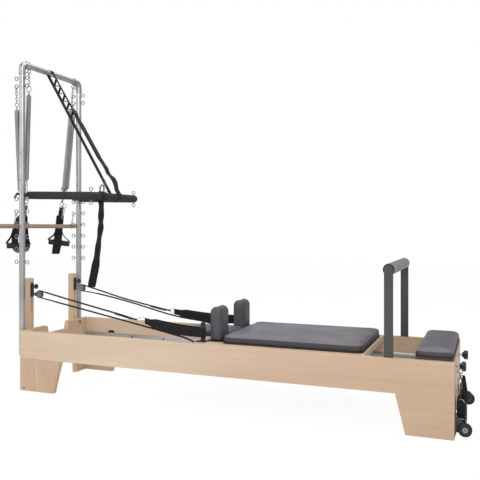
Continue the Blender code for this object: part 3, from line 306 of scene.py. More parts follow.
def plate(outline, u, v, origin, thick, edge=0.001):
    """A flat piece cut to an outline in the plane of u and v, with eased edges."""
    u, v = Vector(u), Vector(v)
    out = u.cross(v).normalized()
    centre = Vector((sum(a for a, _ in outline), sum(b for _, b in outline), 0)) / len(outline)
    reach = max(abs(a - centre.x) for a, _ in outline)
    shrink = 1 - edge / reach
    rings = []
    for depth, share in ((0, shrink), (edge, 1), (thick - edge, 1), (thick, shrink)):
        ring = []
        for a, b in outline:
            along = (centre.x + (a - centre.x) * share) * u
            across = (centre.y + (b - centre.y) * share) * v
            ring.append(Vector(origin) + along + across + depth * out)
        rings.append(ring)
    return loft(rings)


def box(x, y, z, edge=0.0015):
    outline = rounded_outline((x[1] - x[0]) / 2, (y[1] - y[0]) / 2, edge * 2, 2)
    middle = Vector(((x[0] + x[1]) / 2, (y[0] + y[1]) / 2, z[0]))
    return plate(outline, X_AXIS, Y_AXIS, middle, z[1] - z[0], edge)


# Pieces
def painted(mesh, material):
    """The mesh with one material; several such meshes can then be put together."""
    mesh.materials.clear()
    mesh.materials.append(material)
    return mesh


def paint_side_shade(mesh, top, side, slope=0.42):
    """The mesh cut into two: the faces that look up take one material, the others a second, darker one that
    paints shade on the sides.
    """
    halves = []
    for upward, look in ((True, top), (False, side)):
        bm = bmesh.new()
        bm.from_mesh(mesh)
        bm.normal_update()
        away = [face for face in bm.faces if (face.normal.z > slope) != upward]
        bmesh.ops.delete(bm, geom=away, context="FACES")
        halves.append(painted(as_mesh(bm, "half"), look))
    return halves


def together(meshes):
    """One mesh of several, which keeps each one's material."""
    materials = []
    bm = bmesh.new()
    for mesh in meshes:
        first = len(bm.faces)
        bm.from_mesh(mesh)
        bm.faces.ensure_lookup_table()
        look = mesh.materials[0]
        if look not in materials:
            materials.append(look)
        for face in bm.faces[first:]:
            face.material_index = materials.index(look)
    mesh = as_mesh(bm, "together")
    for look in materials:
        mesh.materials.append(look)
    return mesh


def piece(name, meshes, body, replaces=()):
    """Puts a finished piece into the scene and lets it ride on a body."""
    mesh = together(meshes if isinstance(meshes, list) else [meshes])
    mesh.transform(Matrix.Translation(MIDDLE))
    mesh.name = name
    obj = new_object(name, mesh)
    if replaces:
        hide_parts(*replaces)
    if body:
        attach(obj, body)
    return obj


def sides():
    return (("near", -1), ("far", 1))


# Repeats along a line, made with Geometry Nodes
def row_tree():
    """Copies of one piece along a line; every second copy may be turned about the line's own axis."""
    tree = bpy.data.node_groups.new("Row of pieces", "GeometryNodeTree")
    wanted = (
        ("Piece", "NodeSocketObject"),
        ("Count", "NodeSocketInt"),
        ("Start", "NodeSocketVector"),
        ("Step", "NodeSocketVector"),
        ("Turn of every second", "NodeSocketVector"),
        ("Finish", "NodeSocketMaterial"),
    )
    for name, kind in wanted:
        tree.interface.new_socket(name, in_out="INPUT", socket_type=kind)
    tree.interface.new_socket("Row", in_out="OUTPUT", socket_type="NodeSocketGeometry")
    make, link = tree.nodes.new, tree.links.new
    given = make("NodeGroupInput")
    line = make("GeometryNodeMeshLine")
    line.mode = "OFFSET"
    copies = make("GeometryNodeInstanceOnPoints")
    source = make("GeometryNodeObjectInfo")
    index = make("GeometryNodeInputIndex")
    odd = make("ShaderNodeMath")
    odd.operation = "MODULO"
    odd.inputs[1].default_value = 2
    turn = make("ShaderNodeVectorMath")
    turn.operation = "SCALE"
    real = make("GeometryNodeRealizeInstances")
    finish = make("GeometryNodeSetMaterial")
    result = make("NodeGroupOutput")
    link(given.outputs["Count"], line.inputs["Count"])
    link(given.outputs["Start"], line.inputs["Start Location"])
    link(given.outputs["Step"], line.inputs["Offset"])
    link(given.outputs["Piece"], source.inputs["Object"])
    link(index.outputs["Index"], odd.inputs[0])
    link(given.outputs["Turn of every second"], turn.inputs[0])
    link(odd.outputs[0], turn.inputs["Scale"])
    link(line.outputs["Mesh"], copies.inputs["Points"])
    link(source.outputs["Geometry"], copies.inputs["Instance"])
    link(turn.outputs[0], copies.inputs["Rotation"])
    link(copies.outputs["Instances"], real.inputs["Geometry"])
    link(real.outputs["Geometry"], finish.inputs["Geometry"])
    link(given.outputs["Finish"], finish.inputs["Material"])
    link(finish.outputs["Geometry"], result.inputs["Row"])
    return tree


ROW = row_tree()


def row(mesh, count, start, step, material, turn=(0, 0, 0)):
    """A plain mesh of count copies of a mesh that is centred at the origin."""
    source = new_object("row_source", mesh)
    holder = new_object("row_holder", bpy.data.meshes.new("row_holder"))
    modifier = holder.modifiers.new("row", "NODES")
    modifier.node_group = ROW
    sockets = {s.name: s.identifier for s in ROW.interface.items_tree if s.item_type == "SOCKET"}
    modifier[sockets["Piece"]] = source
    modifier[sockets["Count"]] = count
    modifier[sockets["Start"]] = tuple(start)
    modifier[sockets["Step"]] = tuple(step)
    modifier[sockets["Turn of every second"]] = tuple(turn)
    modifier[sockets["Finish"]] = material
    holder.update_tag()
    made = evaluated(holder)
    bpy.data.objects.remove(holder)
    bpy.data.objects.remove(source)
    return painted(made, material)


# Shader node groups
def fill(node, values):
    """Sets plain inputs of a node by their names."""
    for label, value in values.items():
        node.inputs[label].default_value = value


def group(name, inputs, outputs):
    tree = bpy.data.node_groups.new(name, "ShaderNodeTree")
    for label, kind, value in inputs:
        socket = tree.interface.new_socket(label, in_out="INPUT", socket_type=kind)
        if value is not None:
            socket.default_value = value
    for label, kind in outputs:
        tree.interface.new_socket(label, in_out="OUTPUT", socket_type=kind)
    return tree, tree.nodes.new("NodeGroupInput"), tree.nodes.new("NodeGroupOutput")


def math_node(tree, operation, a, b=None, clamp=False):
    node = tree.nodes.new("ShaderNodeMath")
    node.operation = operation
    node.use_clamp = clamp
    for socket, value in zip(node.inputs, (a, b)):
        if value is None:
            continue
        if isinstance(value, (int, float)):
            socket.default_value = value
        else:
            tree.links.new(value, socket)
    return node.outputs[0]


def scaled(tree, vector, amounts):
    node = tree.nodes.new("ShaderNodeVectorMath")
    node.operation = "MULTIPLY"
    tree.links.new(vector, node.inputs[0])
    if isinstance(amounts, tuple):
        node.inputs[1].default_value = amounts
    else:
        tree.links.new(amounts, node.inputs[1])
    return node.outputs[0]


def noise(tree, vector, scale, detail=2.0, roughness=0.5, distortion=0.0):
    node = tree.nodes.new("ShaderNodeTexNoise")
    tree.links.new(vector, node.inputs["Vector"])
    fill(node, {"Scale": scale, "Detail": detail, "Roughness": roughness, "Distortion": distortion})
    return node.outputs["Fac"]


def levels(tree, value, low, high, to_low=0.0, to_high=1.0):
    node = tree.nodes.new("ShaderNodeMapRange")
    tree.links.new(value, node.inputs["Value"])
    fill(node, {"From Min": low, "From Max": high, "To Min": to_low, "To Max": to_high})
    return node.outputs["Result"]


def mixed(tree, factor, a, b):
    node = tree.nodes.new("ShaderNodeMix")
    node.data_type = "RGBA"
    sockets = [s for s in node.inputs if s.enabled]
    for socket, value in zip(sockets, (factor, a, b)):
        if isinstance(value, (int, float, tuple)):
            socket.default_value = value
        else:
            tree.links.new(value, socket)
    return [s for s in node.outputs if s.enabled][0]


def linear(red, green, blue):
    """A colour written as it shows on a screen, from 0 to 255, as the shaders need it."""
    shares = [c / 255 for c in (red, green, blue)]
    return tuple(s / 12.92 if s <= 0.04045 else ((s + 0.055) / 1.055) ** 2.4 for s in shares) + (1.0,)


def wood_group():
    """Flat-sawn maple: long soft figure, fine pores along the grain and slow changes between boards."""
    tree, given, result = group(
        "Maple figure",
        [
            ("Vector", "NodeSocketVector", None),
            ("Stretch", "NodeSocketVector", (1.0, 9.0, 9.0)),
            ("Light", "NodeSocketColor", linear(226, 203, 178)),
            ("Dark", "NodeSocketColor", linear(203, 174, 146)),
        ],
        [("Color", "NodeSocketColor"), ("Height", "NodeSocketFloat"), ("Roughness", "NodeSocketFloat")],
    )
    along = scaled(tree, given.outputs["Vector"], given.outputs["Stretch"])
    figure = noise(tree, along, 1.1, 4.0, 0.55, 0.6)
    bands = tree.nodes.new("ShaderNodeTexWave")
    bands.wave_type = "BANDS"
    bands.bands_direction = "Z"
    fill(bands, {"Scale": 0.9, "Distortion": 7.0, "Detail": 3.0, "Detail Scale": 0.6})
    tree.links.new(along, bands.inputs["Vector"])
    pores = noise(tree, scaled(tree, along, (9.0, 14.0, 14.0)), 5.0, 2.0, 0.6)
    slow = noise(tree, given.outputs["Vector"], 2.2, 1.0)
    soft = levels(tree, figure, 0.3, 0.72)
    lines = math_node(tree, "MULTIPLY", bands.outputs["Fac"], 0.15)
    fleck = levels(tree, pores, 0.60, 0.78, 0.0, 0.22)
    shade = math_node(tree, "ADD", math_node(tree, "MULTIPLY", soft, 0.45), lines)
    shade = math_node(tree, "ADD", shade, fleck)
    shade = math_node(tree, "ADD", shade, levels(tree, slow, 0.35, 0.7, -0.08, 0.22), clamp=True)
    colour = mixed(tree, shade, given.outputs["Light"], given.outputs["Dark"])
    tree.links.new(colour, result.inputs["Color"])
    tree.links.new(math_node(tree, "MULTIPLY", fleck, -1.0), result.inputs["Height"])
    tree.links.new(levels(tree, figure, 0.2, 0.8, 0.40, 0.52), result.inputs["Roughness"])
    return tree


def grain_group():
    """Small pebbles, as on vinyl and moulded plastic, and a slow cloud of wear."""
    tree, given, result = group(
        "Pebble grain",
        [("Vector", "NodeSocketVector", None), ("Size", "NodeSocketFloat", 0.0012)],
        [("Height", "NodeSocketFloat"), ("Wear", "NodeSocketFloat")],
    )
    cells = tree.nodes.new("ShaderNodeTexVoronoi")
    cells.feature = "SMOOTH_F1"
    cells.inputs["Smoothness"].default_value = 0.4
    tree.links.new(given.outputs["Vector"], cells.inputs["Vector"])
    tree.links.new(math_node(tree, "DIVIDE", 1.0, given.outputs["Size"]), cells.inputs["Scale"])
    tree.links.new(math_node(tree, "MULTIPLY", cells.outputs["Distance"], -1.0), result.inputs["Height"])
    tree.links.new(noise(tree, given.outputs["Vector"], 7.0, 3.0), result.inputs["Wear"])
    return tree


def weave_group():
    """Webbing: ribs across the width and twill threads, on the piece's own UV map in metres."""
    tree, given, result = group(
        "Webbing weave",
        [("Vector", "NodeSocketVector", None), ("Thread", "NodeSocketFloat", 0.0016)],
        [("Height", "NodeSocketFloat"), ("Thread mask", "NodeSocketFloat")],
    )
    parts = tree.nodes.new("ShaderNodeSeparateXYZ")
    tree.links.new(given.outputs["Vector"], parts.inputs[0])
    turns = math_node(tree, "DIVIDE", 2 * math.pi, given.outputs["Thread"])
    across = math_node(tree, "MULTIPLY", parts.outputs["X"], turns)
    along = math_node(tree, "MULTIPLY", parts.outputs["Y"], turns)
    warp = math_node(tree, "SINE", math_node(tree, "ADD", across, along))
    weft = math_node(tree, "SINE", math_node(tree, "SUBTRACT", across, along))
    height = math_node(tree, "MAXIMUM", warp, weft)
    tree.links.new(height, result.inputs["Height"])
    tree.links.new(levels(tree, height, -1.0, 1.0), result.inputs["Thread mask"])
    return tree


WOOD = wood_group()
GRAIN = grain_group()
WEAVE = weave_group()


def blank(name):
    material = bpy.data.materials.new(name)
    material.use_nodes = True
    tree = material.node_tree
    shader = tree.nodes["Principled BSDF"]
    place = tree.nodes.new("ShaderNodeTexCoord")
    return material, tree, shader, place


def use(tree, which, vector, **values):
    node = tree.nodes.new("ShaderNodeGroup")
    node.node_tree = which
    tree.links.new(vector, node.inputs["Vector"])
    for label, value in values.items():
        node.inputs[label.replace("_", " ")].default_value = value
    return node


def bump(tree, shader, height, strength, distance):
    node = tree.nodes.new("ShaderNodeBump")
    fill(node, {"Strength": strength, "Distance": distance})
    tree.links.new(height, node.inputs["Height"])
    tree.links.new(node.outputs["Normal"], shader.inputs["Normal"])


def wood(name, stretch, light=(226, 203, 178), dark=(203, 174, 146), metal_below=None, shade_falloff_x=None):
    """Lacquered maple with its grain along one axis; fused steel below a height can stay steel.

    A board can be painted with shade that makes it warmer and darker towards one end, where less light falls.
    """
    material, tree, shader, place = blank(name)
    figure = use(
        tree, WOOD, place.outputs["Object"], Stretch=stretch, Light=linear(*light), Dark=linear(*dark)
    )
    colour, rough = figure.outputs["Color"], figure.outputs["Roughness"]
    # Painted shade: along x the colour falls to a warmer, darker tone.
    if shade_falloff_x is not None:
        parts = tree.nodes.new("ShaderNodeSeparateXYZ")
        tree.links.new(place.outputs["Object"], parts.inputs[0])
        falloff_shade = levels(tree, parts.outputs["X"], shade_falloff_x[0], shade_falloff_x[1])
        colour = mixed(tree, falloff_shade, colour, scaled(tree, colour, (0.85, 0.77, 0.71)))
    if metal_below is not None:
        axis, limit, upward = metal_below
        parts = tree.nodes.new("ShaderNodeSeparateXYZ")
        tree.links.new(place.outputs["Object"], parts.inputs[0])
        mask = math_node(tree, "GREATER_THAN" if upward else "LESS_THAN", parts.outputs[axis], limit)
        colour = mixed(tree, mask, colour, linear(180, 180, 182))
        tree.links.new(mask, shader.inputs["Metallic"])
        rough = math_node(tree, "SUBTRACT", rough, math_node(tree, "MULTIPLY", mask, 0.15))
    tree.links.new(colour, shader.inputs["Base Color"])
    tree.links.new(rough, shader.inputs["Roughness"])
    fill(shader, {"Coat Weight": 0.12, "Coat Roughness": 0.3})
    bump(tree, shader, figure.outputs["Height"], 0.25, 0.0003)
    return material


def tint(tree, shader, mask, colour, other):
    """A base colour between two screen colours, as a mask says."""
    tree.links.new(mixed(tree, mask, linear(*colour), linear(*other)), shader.inputs["Base Color"])


def vinyl(name, colour, size=0.0011, strength=0.25):
    material, tree, shader, place = blank(name)
    grain = use(tree, GRAIN, place.outputs["Object"], Size=size)
    wear = grain.outputs["Wear"]
    tint(tree, shader, levels(tree, wear, 0.35, 0.65), colour, [c * 0.92 for c in colour])
    tree.links.new(levels(tree, wear, 0.3, 0.7, 0.42, 0.52), shader.inputs["Roughness"])
    bump(tree, shader, grain.outputs["Height"], strength, 0.0003)
    return material


def metal(name, colour, low, high, along="Z", brushed=True):
    """Plated or drawn steel with faint marks of drawing along one axis."""
    material, tree, shader, place = blank(name)
    stretch = {"X": (2.0, 260.0, 260.0), "Y": (260.0, 2.0, 260.0), "Z": (260.0, 260.0, 2.0)}[along]
    marks = noise(tree, scaled(tree, place.outputs["Object"], stretch), 1.0, 2.0)
    cloud = noise(tree, place.outputs["Object"], 6.0, 3.0)
    tint(tree, shader, levels(tree, cloud, 0.3, 0.7), colour, [c * 0.88 for c in colour])
    shader.inputs["Metallic"].default_value = 1.0
    tree.links.new(levels(tree, marks, 0.3, 0.7, low, high), shader.inputs["Roughness"])
    if brushed:
        bump(tree, shader, marks, 0.05, 0.0002)
    return material


def moulded(name, colour, roughness, size=0.0009, strength=0.2, lighter=12):
    material, tree, shader, place = blank(name)
    grain = use(tree, GRAIN, place.outputs["Object"], Size=size)
    wear = grain.outputs["Wear"]
    tint(tree, shader, levels(tree, wear, 0.45, 0.75), colour, [c + lighter for c in colour])
    rough = levels(tree, wear, 0.3, 0.7, roughness - 0.06, roughness + 0.06)
    tree.links.new(rough, shader.inputs["Roughness"])
    bump(tree, shader, grain.outputs["Height"], strength, 0.0003)
    return material


def webbing(name, colour, thread=0.0016):
    material, tree, shader, place = blank(name)
    weave = use(tree, WEAVE, place.outputs["UV"], Thread=thread)
    tint(tree, shader, weave.outputs["Thread mask"], colour, [c * 1.5 + 8 for c in colour])
    fill(shader, {"Roughness": 0.8, "Specular IOR Level": 0.3, "Sheen Weight": 0.06})
    bump(tree, shader, weave.outputs["Height"], 0.5, 0.0004)
    return material


END_TONES = ((216, 187, 158), (192, 160, 130))
# The side rails carry painted shade that darkens them towards the foot end.
MAPLE_ALONG = wood(
    "maple_along", (1.0, 9.0, 9.0), (226, 204, 180), (207, 178, 152), shade_falloff_x=(MIDDLE.x - 0.9, MIDDLE.x + 0.9)
)
MAPLE_ACROSS = wood("maple_across", (9.0, 1.0, 9.0))
MAPLE_UPRIGHT = wood("maple_upright", (9.0, 9.0, 1.0), *END_TONES)
MAPLE_CARRIAGE = wood("maple_carriage", (9.0, 1.0, 9.0), metal_below=("Z", 0.3283, False))
MAPLE_HEAD_BOARD = wood(
    "maple_head_board", (9.0, 1.0, 9.0), *END_TONES, metal_below=("X", -HALF_LENGTH + 0.0325 + MIDDLE.x, True)
)
MAPLE_FOOT_BOARD = wood(
    "maple_foot_board", (9.0, 1.0, 9.0), *END_TONES, metal_below=("X", HALF_LENGTH + GAP + MIDDLE.x, True)
)
DOWEL_WOOD = wood("turned_dowel", (14.0, 1.0, 14.0), (172, 147, 124), (143, 113, 90))
PAD_VINYL = vinyl("pad_vinyl", (112, 109, 116))
# Darker copy of the pad vinyl: painted shade for the sides of the pads.
PAD_SHADED_SIDE_VINYL = vinyl("pad_vinyl_shaded_side", (66, 63, 67))
# Darker copy of the pad vinyl: painted shade on the headrest.
HEADREST_SHADED_VINYL = vinyl("headrest_vinyl_painted_shade", (98, 95, 100))
REST_VINYL = vinyl("rest_vinyl", (85, 84, 91))
GRIP_VINYL = vinyl("grip_vinyl", (141, 140, 146))
STEEL = metal("plated_steel", (205, 205, 207), 0.22, 0.34)
STEEL_ACROSS = metal("plated_steel_across", (190, 190, 193), 0.22, 0.34, "Y")
SPRING_STEEL = metal("spring_steel", (214, 213, 212), 0.28, 0.40, "Z", False)
BRIGHT = metal("bright_fittings", (158, 158, 161), 0.16, 0.26, "Z", False)
ALUMINIUM = metal("drawn_aluminium", (224, 225, 227), 0.32, 0.45, "X")
POWDER_GREY = moulded("powder_coat_grey", (70, 70, 71), 0.48, 0.0006, 0.12, 6)
FOAM = moulded("black_foam", (43, 41, 42), 0.82, 0.0008, 0.35, 8)
BLACK_PLASTIC = moulded("black_plastic", (30, 29, 30), 0.42, 0.0009, 0.12, 10)
BLACK_STEEL = moulded("black_coated_steel", (34, 33, 35), 0.5, 0.0006, 0.12, 8)
RUBBER = moulded("black_rubber", (36, 35, 36), 0.7, 0.0012, 0.2, 10)
HUB_GREY = moulded("grey_hub", (150, 150, 152), 0.45, 0.0009, 0.1, 8)
WEBBING = webbing("black_webbing", (14, 13, 14))
ROPE = webbing("braided_rope", (17, 15, 16), 0.0022)
STITCH = webbing("stitching", (44, 42, 45), 0.0006)
# Near-black finish laid where there is only shade: painted shadow in holes, the rail's slot and the elbows'
# open ends.
HOLE_SHADOW = moulded("hole_shadow", (10, 10, 10), 0.9, 0.001, 0.0, 2)
JOINT_LINE = moulded("joint_line", (128, 102, 80), 0.8, 0.001, 0.0, 2)

# Camera at the photograph's place
CAMERA_TURN = 21.44
lens = bpy.data.cameras.new("camera")
lens.sensor_width = 36
lens.lens = 47.41
lens.shift_y = -0.0271
camera = new_object("camera", lens)
camera.location = Vector((1.3954, -3.4119, 0.989)) + MIDDLE
camera.rotation_euler = (math.radians(90.0), 0, math.radians(CAMERA_TURN))
bpy.context.scene.camera = camera


# The wooden frame and the fixed metal keep their CAD shapes
def finish_nodes():
    looks = {
        "side_rail_near": MAPLE_ALONG,
        "side_rail_far": MAPLE_ALONG,
        "head_leg_near": MAPLE_UPRIGHT,
        "head_leg_far": MAPLE_UPRIGHT,
        "head_end_board": MAPLE_HEAD_BOARD,
        "foot_end_board": MAPLE_FOOT_BOARD,
        "cross_member": MAPLE_ACROSS,
        "carriage_base": MAPLE_CARRIAGE,
        "riser_near": MAPLE_UPRIGHT,
        "riser_far": MAPLE_UPRIGHT,
        "track_near": ALUMINIUM,
        "track_far": ALUMINIUM,
        "spring_bar": STEEL_ACROSS,
        "platform_board": PAD_SHADED_SIDE_VINYL,
        "pulley_block_near": BRIGHT,
        "pulley_block_far": BRIGHT,
    }
    for name, look in looks.items():
        slots = NODES[name].material_slots
        for slot in slots:
            slot.material = look
        if not slots:
            NODES[name].data.materials.append(look)


finish_nodes()


def eyebolt_mesh(out, reach):
    """A screw eye centred on its root: a tapered shank and a ring that faces along Y."""
    shank = [(0, 0.0028), (reach - EYE_RING - 0.004, 0.0028), (reach - EYE_RING, 0.0023)]
    bm = bmesh.new()
    for mesh in (turned(Vector(), out, shank, 12), torus(reach * out, Y_AXIS, EYE_RING, EYE_WIRE, 24)):
        bm.from_mesh(mesh)
    return as_mesh(bm, "eyebolt")


def make_uprights():
    """Tubes with rows of screw eyes to the front and the back, holes drawn as discs of painted shadow, a
    pivot bolt and a locking tab.
    """
    tall = TOWER_SEAM - UPRIGHT_FOOT
    tube = [
        (0.0, 0.0140), (0, TUBE_RADIUS - 0.0008), (0.001, TUBE_RADIUS), (tall, TUBE_RADIUS), (tall, 0.0150),
    ]
    bolt = [(0, 0.006), (UPRIGHT_Y - PUSH_HALF + PUSH_RADIUS, 0.006)]
    screw = [(0.012, 0.0085), (0.0195, 0.0085), (0.0215, 0.0065), (0.022, 0.002)]
    shadow = [(TUBE_RADIUS - 0.002, 0.0034), (TUBE_RADIUS + 0.0002, 0.0034)]
    tab = [
        (-0.0520, -0.0160), (-0.0440, -0.0220), (-0.0240, 0.0000), (0.0030, -0.0050), (0.0030, 0.0080),
        (-0.0210, 0.0150), (-0.0310, 0.0120),
    ]
    eye_rows = (
        (EYE_HEIGHTS[0], 2, EYE_HEIGHTS[1] - EYE_HEIGHTS[0]), (EYE_HEIGHTS[2], LOWER_EYES, -EYE_PITCH),
    )
    for side, sign in sides():
        root = Vector((UPRIGHT_X, sign * UPRIGHT_Y, 0))
        meshes = [painted(turned(root + UPRIGHT_FOOT * Z_AXIS, Z_AXIS, tube, 40), STEEL)]
        for out, reach in ((X_AXIS, EYE_REACH_FRONT), (-X_AXIS, EYE_REACH_BACK)):
            eye = eyebolt_mesh(out, reach)
            for height, count, pitch in eye_rows:
                meshes.append(row(eye, count, root + height * Z_AXIS, (0, 0, pitch), BRIGHT))
        for face in (-1, 1):
            spot = turned(Vector(), face * Y_AXIS, shadow, 14)
            meshes.append(row(spot, HOLES, root + HOLE_HEIGHT * Z_AXIS, (0, 0, HOLE_PITCH), HOLE_SHADOW))
        meshes.append(painted(turned(root + PUSH_Z * Z_AXIS, -sign * Y_AXIS, bolt, 20), BRIGHT))
        origin = (UPRIGHT_X, sign * 0.303 + 0.0020, PUSH_Z)
        meshes.append(painted(plate(tab, X_AXIS, Z_AXIS, origin, 0.0040, 0.0008), BLACK_STEEL))
        for z in (0.300, 0.235):
            meshes.append(painted(turned(root + z * Z_AXIS, -X_AXIS, screw, 20), BRIGHT))
        piece(f"upright_tube_{side}", meshes, "frame", [f"upright_{side}"])


def make_top_bar():
    """The cross tube with a cast elbow at each end, and its eyes with their nuts on top."""
    elbow_end_shadow = [
        (-0.001, TUBE_RADIUS), (-0.001, TUBE_RADIUS + 0.0023), (0.0009, TUBE_RADIUS + 0.0016),
        (0.0009, TUBE_RADIUS),
    ]
    nut = [(0, 0.003), (0.018, 0.003), (0.018, 0.006), (0.023, 0.006), (0.023, 0.003), (0.027, 0.0025)]
    path = [Vector((UPRIGHT_X, -UPRIGHT_Y, TOWER_SEAM + GAP))]
    for sign, start, stop in ((-1, 180, 90), (1, 90, 0)):
        centre = (UPRIGHT_X, sign * (UPRIGHT_Y - TOWER_BEND), TOWER_TOP - TOWER_BEND)
        path += arc(centre, Y_AXIS, Z_AXIS, TOWER_BEND, start, stop, 10)
    path.append(Vector((UPRIGHT_X, UPRIGHT_Y, TOWER_SEAM + GAP)))
    meshes = [painted(wire(path, TUBE_RADIUS, 40), STEEL_ACROSS)]
    for sign in (-1, 1):
        corner = Vector((UPRIGHT_X, sign * (UPRIGHT_Y - TOWER_BEND), TOWER_TOP - TOWER_BEND))
        cast = [Vector((UPRIGHT_X, sign * UPRIGHT_Y, TOWER_TOP - ELBOW_LENGTH))]
        cast += arc(corner, sign * Y_AXIS, Z_AXIS, TOWER_BEND, 0, 90, 10)
        cast.append(Vector((UPRIGHT_X, sign * (UPRIGHT_Y - ELBOW_LENGTH), TOWER_TOP)))
        meshes.append(painted(wire(cast, TUBE_RADIUS + 0.0022, 40), STEEL_ACROSS))
        # Each end of an elbow gets a thin ring of painted shadow where the tube goes in.
        for place, way in ((cast[0], -Z_AXIS), (cast[-1], -sign * Y_AXIS)):
            meshes.append(painted(turned_ring(place, way, elbow_end_shadow), HOLE_SHADOW))
        for y in TOP_EYES_Y:
            root = (UPRIGHT_X, sign * y, TOWER_TOP)
            meshes.append(row(eyebolt_mesh(-Z_AXIS, EYE_REACH), 1, root, (0, 0, 0), BRIGHT))
            meshes.append(painted(turned(root, Z_AXIS, nut, 6), BRIGHT))
    piece("tower_top_tube", meshes, "frame", ["tower_top_bar"])


def make_push_bar():
    """Steel tube under a sleeve of black foam, with screw eyes on both arms."""
    lean = Vector((PUSH_X - UPRIGHT_X, 0, PUSH_END_Z - PUSH_Z)).normalized()
    start = Vector((UPRIGHT_X, 0, PUSH_Z)) + 0.010 * lean
    corner = Vector((PUSH_X, 0, PUSH_END_Z)) - PUSH_BEND * lean
    inset = (PUSH_HALF - PUSH_BEND) * Y_AXIS
    path = [start - PUSH_HALF * Y_AXIS + lean * d for d in (0, 0.004, 0.02, 0.06, 0.15, 0.25, 0.34)]
    path += arc(corner - inset, lean, Y_AXIS, PUSH_BEND, -90, 0, 10)
    path += [corner + PUSH_BEND * lean + Y_AXIS * y for y in (-0.12, -0.05, 0.05, 0.12)]
    path += arc(corner + inset, lean, Y_AXIS, PUSH_BEND, 0, 90, 10)
    far = start + PUSH_HALF * Y_AXIS
    path += [far + lean * (FAR_BARE + d) for d in (0.30, 0.22, 0.14, 0.06, 0.02, 0.004, 0)]
    radii = [PUSH_RADIUS] * len(path)
    radii[0] = radii[-1] = PUSH_RADIUS - 0.003
    meshes = [painted(wire(path, radii, 36), FOAM)]
    for sign, bare in ((-1, 0.0), (1, FAR_BARE)):
        stub = [(-0.026, 0.012), (-0.025, 0.014), (bare + 0.004, 0.014)]
        meshes.append(painted(turned(start + sign * PUSH_HALF * Y_AXIS, lean, stub, 24), BLACK_STEEL))
        for x, up in PUSH_EYES:
            share = (x - UPRIGHT_X) / (PUSH_X - UPRIGHT_X)
            root = (x, sign * PUSH_HALF, PUSH_Z + (PUSH_END_Z - PUSH_Z) * share)
            meshes.append(row(eyebolt_mesh(up * Z_AXIS, PUSH_EYE_REACH), 1, root, (0, 0, 0), BRIGHT))
    piece("push_bar_foam", meshes, "push_bar", ["push_through_bar"])


make_uprights()
make_top_bar()
make_push_bar()


# Footbar
def make_footbar():
    half = FOOTBAR_WIDTH / 2
    meshes = []
    for sign in (-1, 1):
        outline = [(p.x, p.y) for p in arc((0, 0, 0), X_AXIS, Y_AXIS, half, 180, 360, 16)]
        top = arc((0, FOOTBAR_TOP - FOOTBAR_PIVOT, 0), X_AXIS, Y_AXIS, half, 0, 180, 16)
        outline += [(p.x, p.y) for p in top]
        face = sign * FOOTBAR_Y + FOOTBAR_THICK / 2
        origin = (FOOTBAR_X, face, FOOTBAR_PIVOT)
        meshes.append(painted(plate(outline, X_AXIS, Z_AXIS, origin, FOOTBAR_THICK, 0.0012), POWDER_GREY))
        place = (FOOTBAR_X, sign * (FOOTBAR_Y - FOOTBAR_THICK / 2 + 0.0002), FOOTBAR_TOP)
        rim = [(0, 0.0255), (0, 0.0284), (0.0035, 0.0284), (0.0048, 0.0272), (0.0048, 0.0255)]
        meshes.append(painted(turned_ring(place, sign * Y_AXIS, rim, 40), BLACK_PLASTIC))
        disc = [(0, 0.0020), (0, 0.0256), (0.0030, 0.0256), (0.0030, 0.0020)]
        meshes.append(painted(turned_ring(place, sign * Y_AXIS, disc, 40), POWDER_GREY))
    core = [(-FOOTBAR_Y + 0.004, 0.0125), (FOOTBAR_Y - 0.004, 0.0125)]
    meshes.append(painted(turned((FOOTBAR_X, 0, FOOTBAR_TOP), Y_AXIS, core, 24), POWDER_GREY))
    piece("footbar_posts", meshes, "footbar", ["footbar_frame"])
    reach = FOOTBAR_Y - FOOTBAR_THICK / 2 - GAP
    radius = GRIP_RADIUS
    profile = [
        (-reach, 0.0128), (-reach, radius - 0.003), (-reach + 0.002, radius - 0.0008),
        (-reach + 0.006, radius),
    ]
    profile += [(reach * k / 6, radius) for k in range(-5, 6)]
    profile += [(-d, r) for d, r in profile[:4]][::-1]
    grip = painted(turned_ring((FOOTBAR_X, 0, FOOTBAR_TOP), Y_AXIS, profile, 56), GRIP_VINYL)
    seam_path = [(FOOTBAR_X, y, FOOTBAR_TOP - radius - 0.0002) for y in (-reach + 0.01, 0, reach - 0.01)]
    seam = painted(wire(seam_path, 0.0011, 8), GRIP_VINYL)
    made = piece("footbar_grip_cover", [grip, seam], "footbar", ["footbar_grip"])


make_footbar()


# Upholstered pads; the seam and the board under each one keep its full size, its cover is a little smaller
PAD_SLACK = 0.0025
PAD_EDGE = 0.013
PAD_CROWN = 0.009
PAD_BOARD = 0.0025
COVER_CAP = 0.003
CLOTH_PRESSURE = 4.0
CLOTH_FRAMES = 20


def pad_mesh(x, y, z, corner, edge, crown, rows=10):
    """A boxed pad: a flat base, sides that swell a little, a rounded edge and a crowned top."""
    half_x, half_y = (x[1] - x[0]) / 2, (y[1] - y[0]) / 2
    middle = Vector(((x[0] + x[1]) / 2, (y[0] + y[1]) / 2, 0))
    height = z[1] - z[0] - crown
    outline = rounded_outline(half_x, half_y, corner, 8)
    short = min(half_x, half_y)
    steps = [(short * 0.9, 0.0), (short * 0.3, 0.0), (0.003, 0.0015), (0.0012, 0.004), (0.0, 0.35 * height)]
    steps.append((0.0008, height - edge))
    for degrees in range(15, 91, 15):
        t = math.radians(degrees)
        steps.append((0.0008 + edge * (1 - math.cos(t)), height - edge * (1 - math.sin(t))))
    for k in range(1, rows):
        share = k / rows
        steps.append((edge + (short - edge) * share * 0.98, height + crown * (1 - (1 - share) ** 2)))
    rings = []
    for inset, up in steps:
        sx, sy = (half_x - inset) / half_x, (half_y - inset) / half_y
        rings.append([middle + Vector((px * sx, py * sy, z[0] + up)) for px, py in outline])
    return loft(rings)


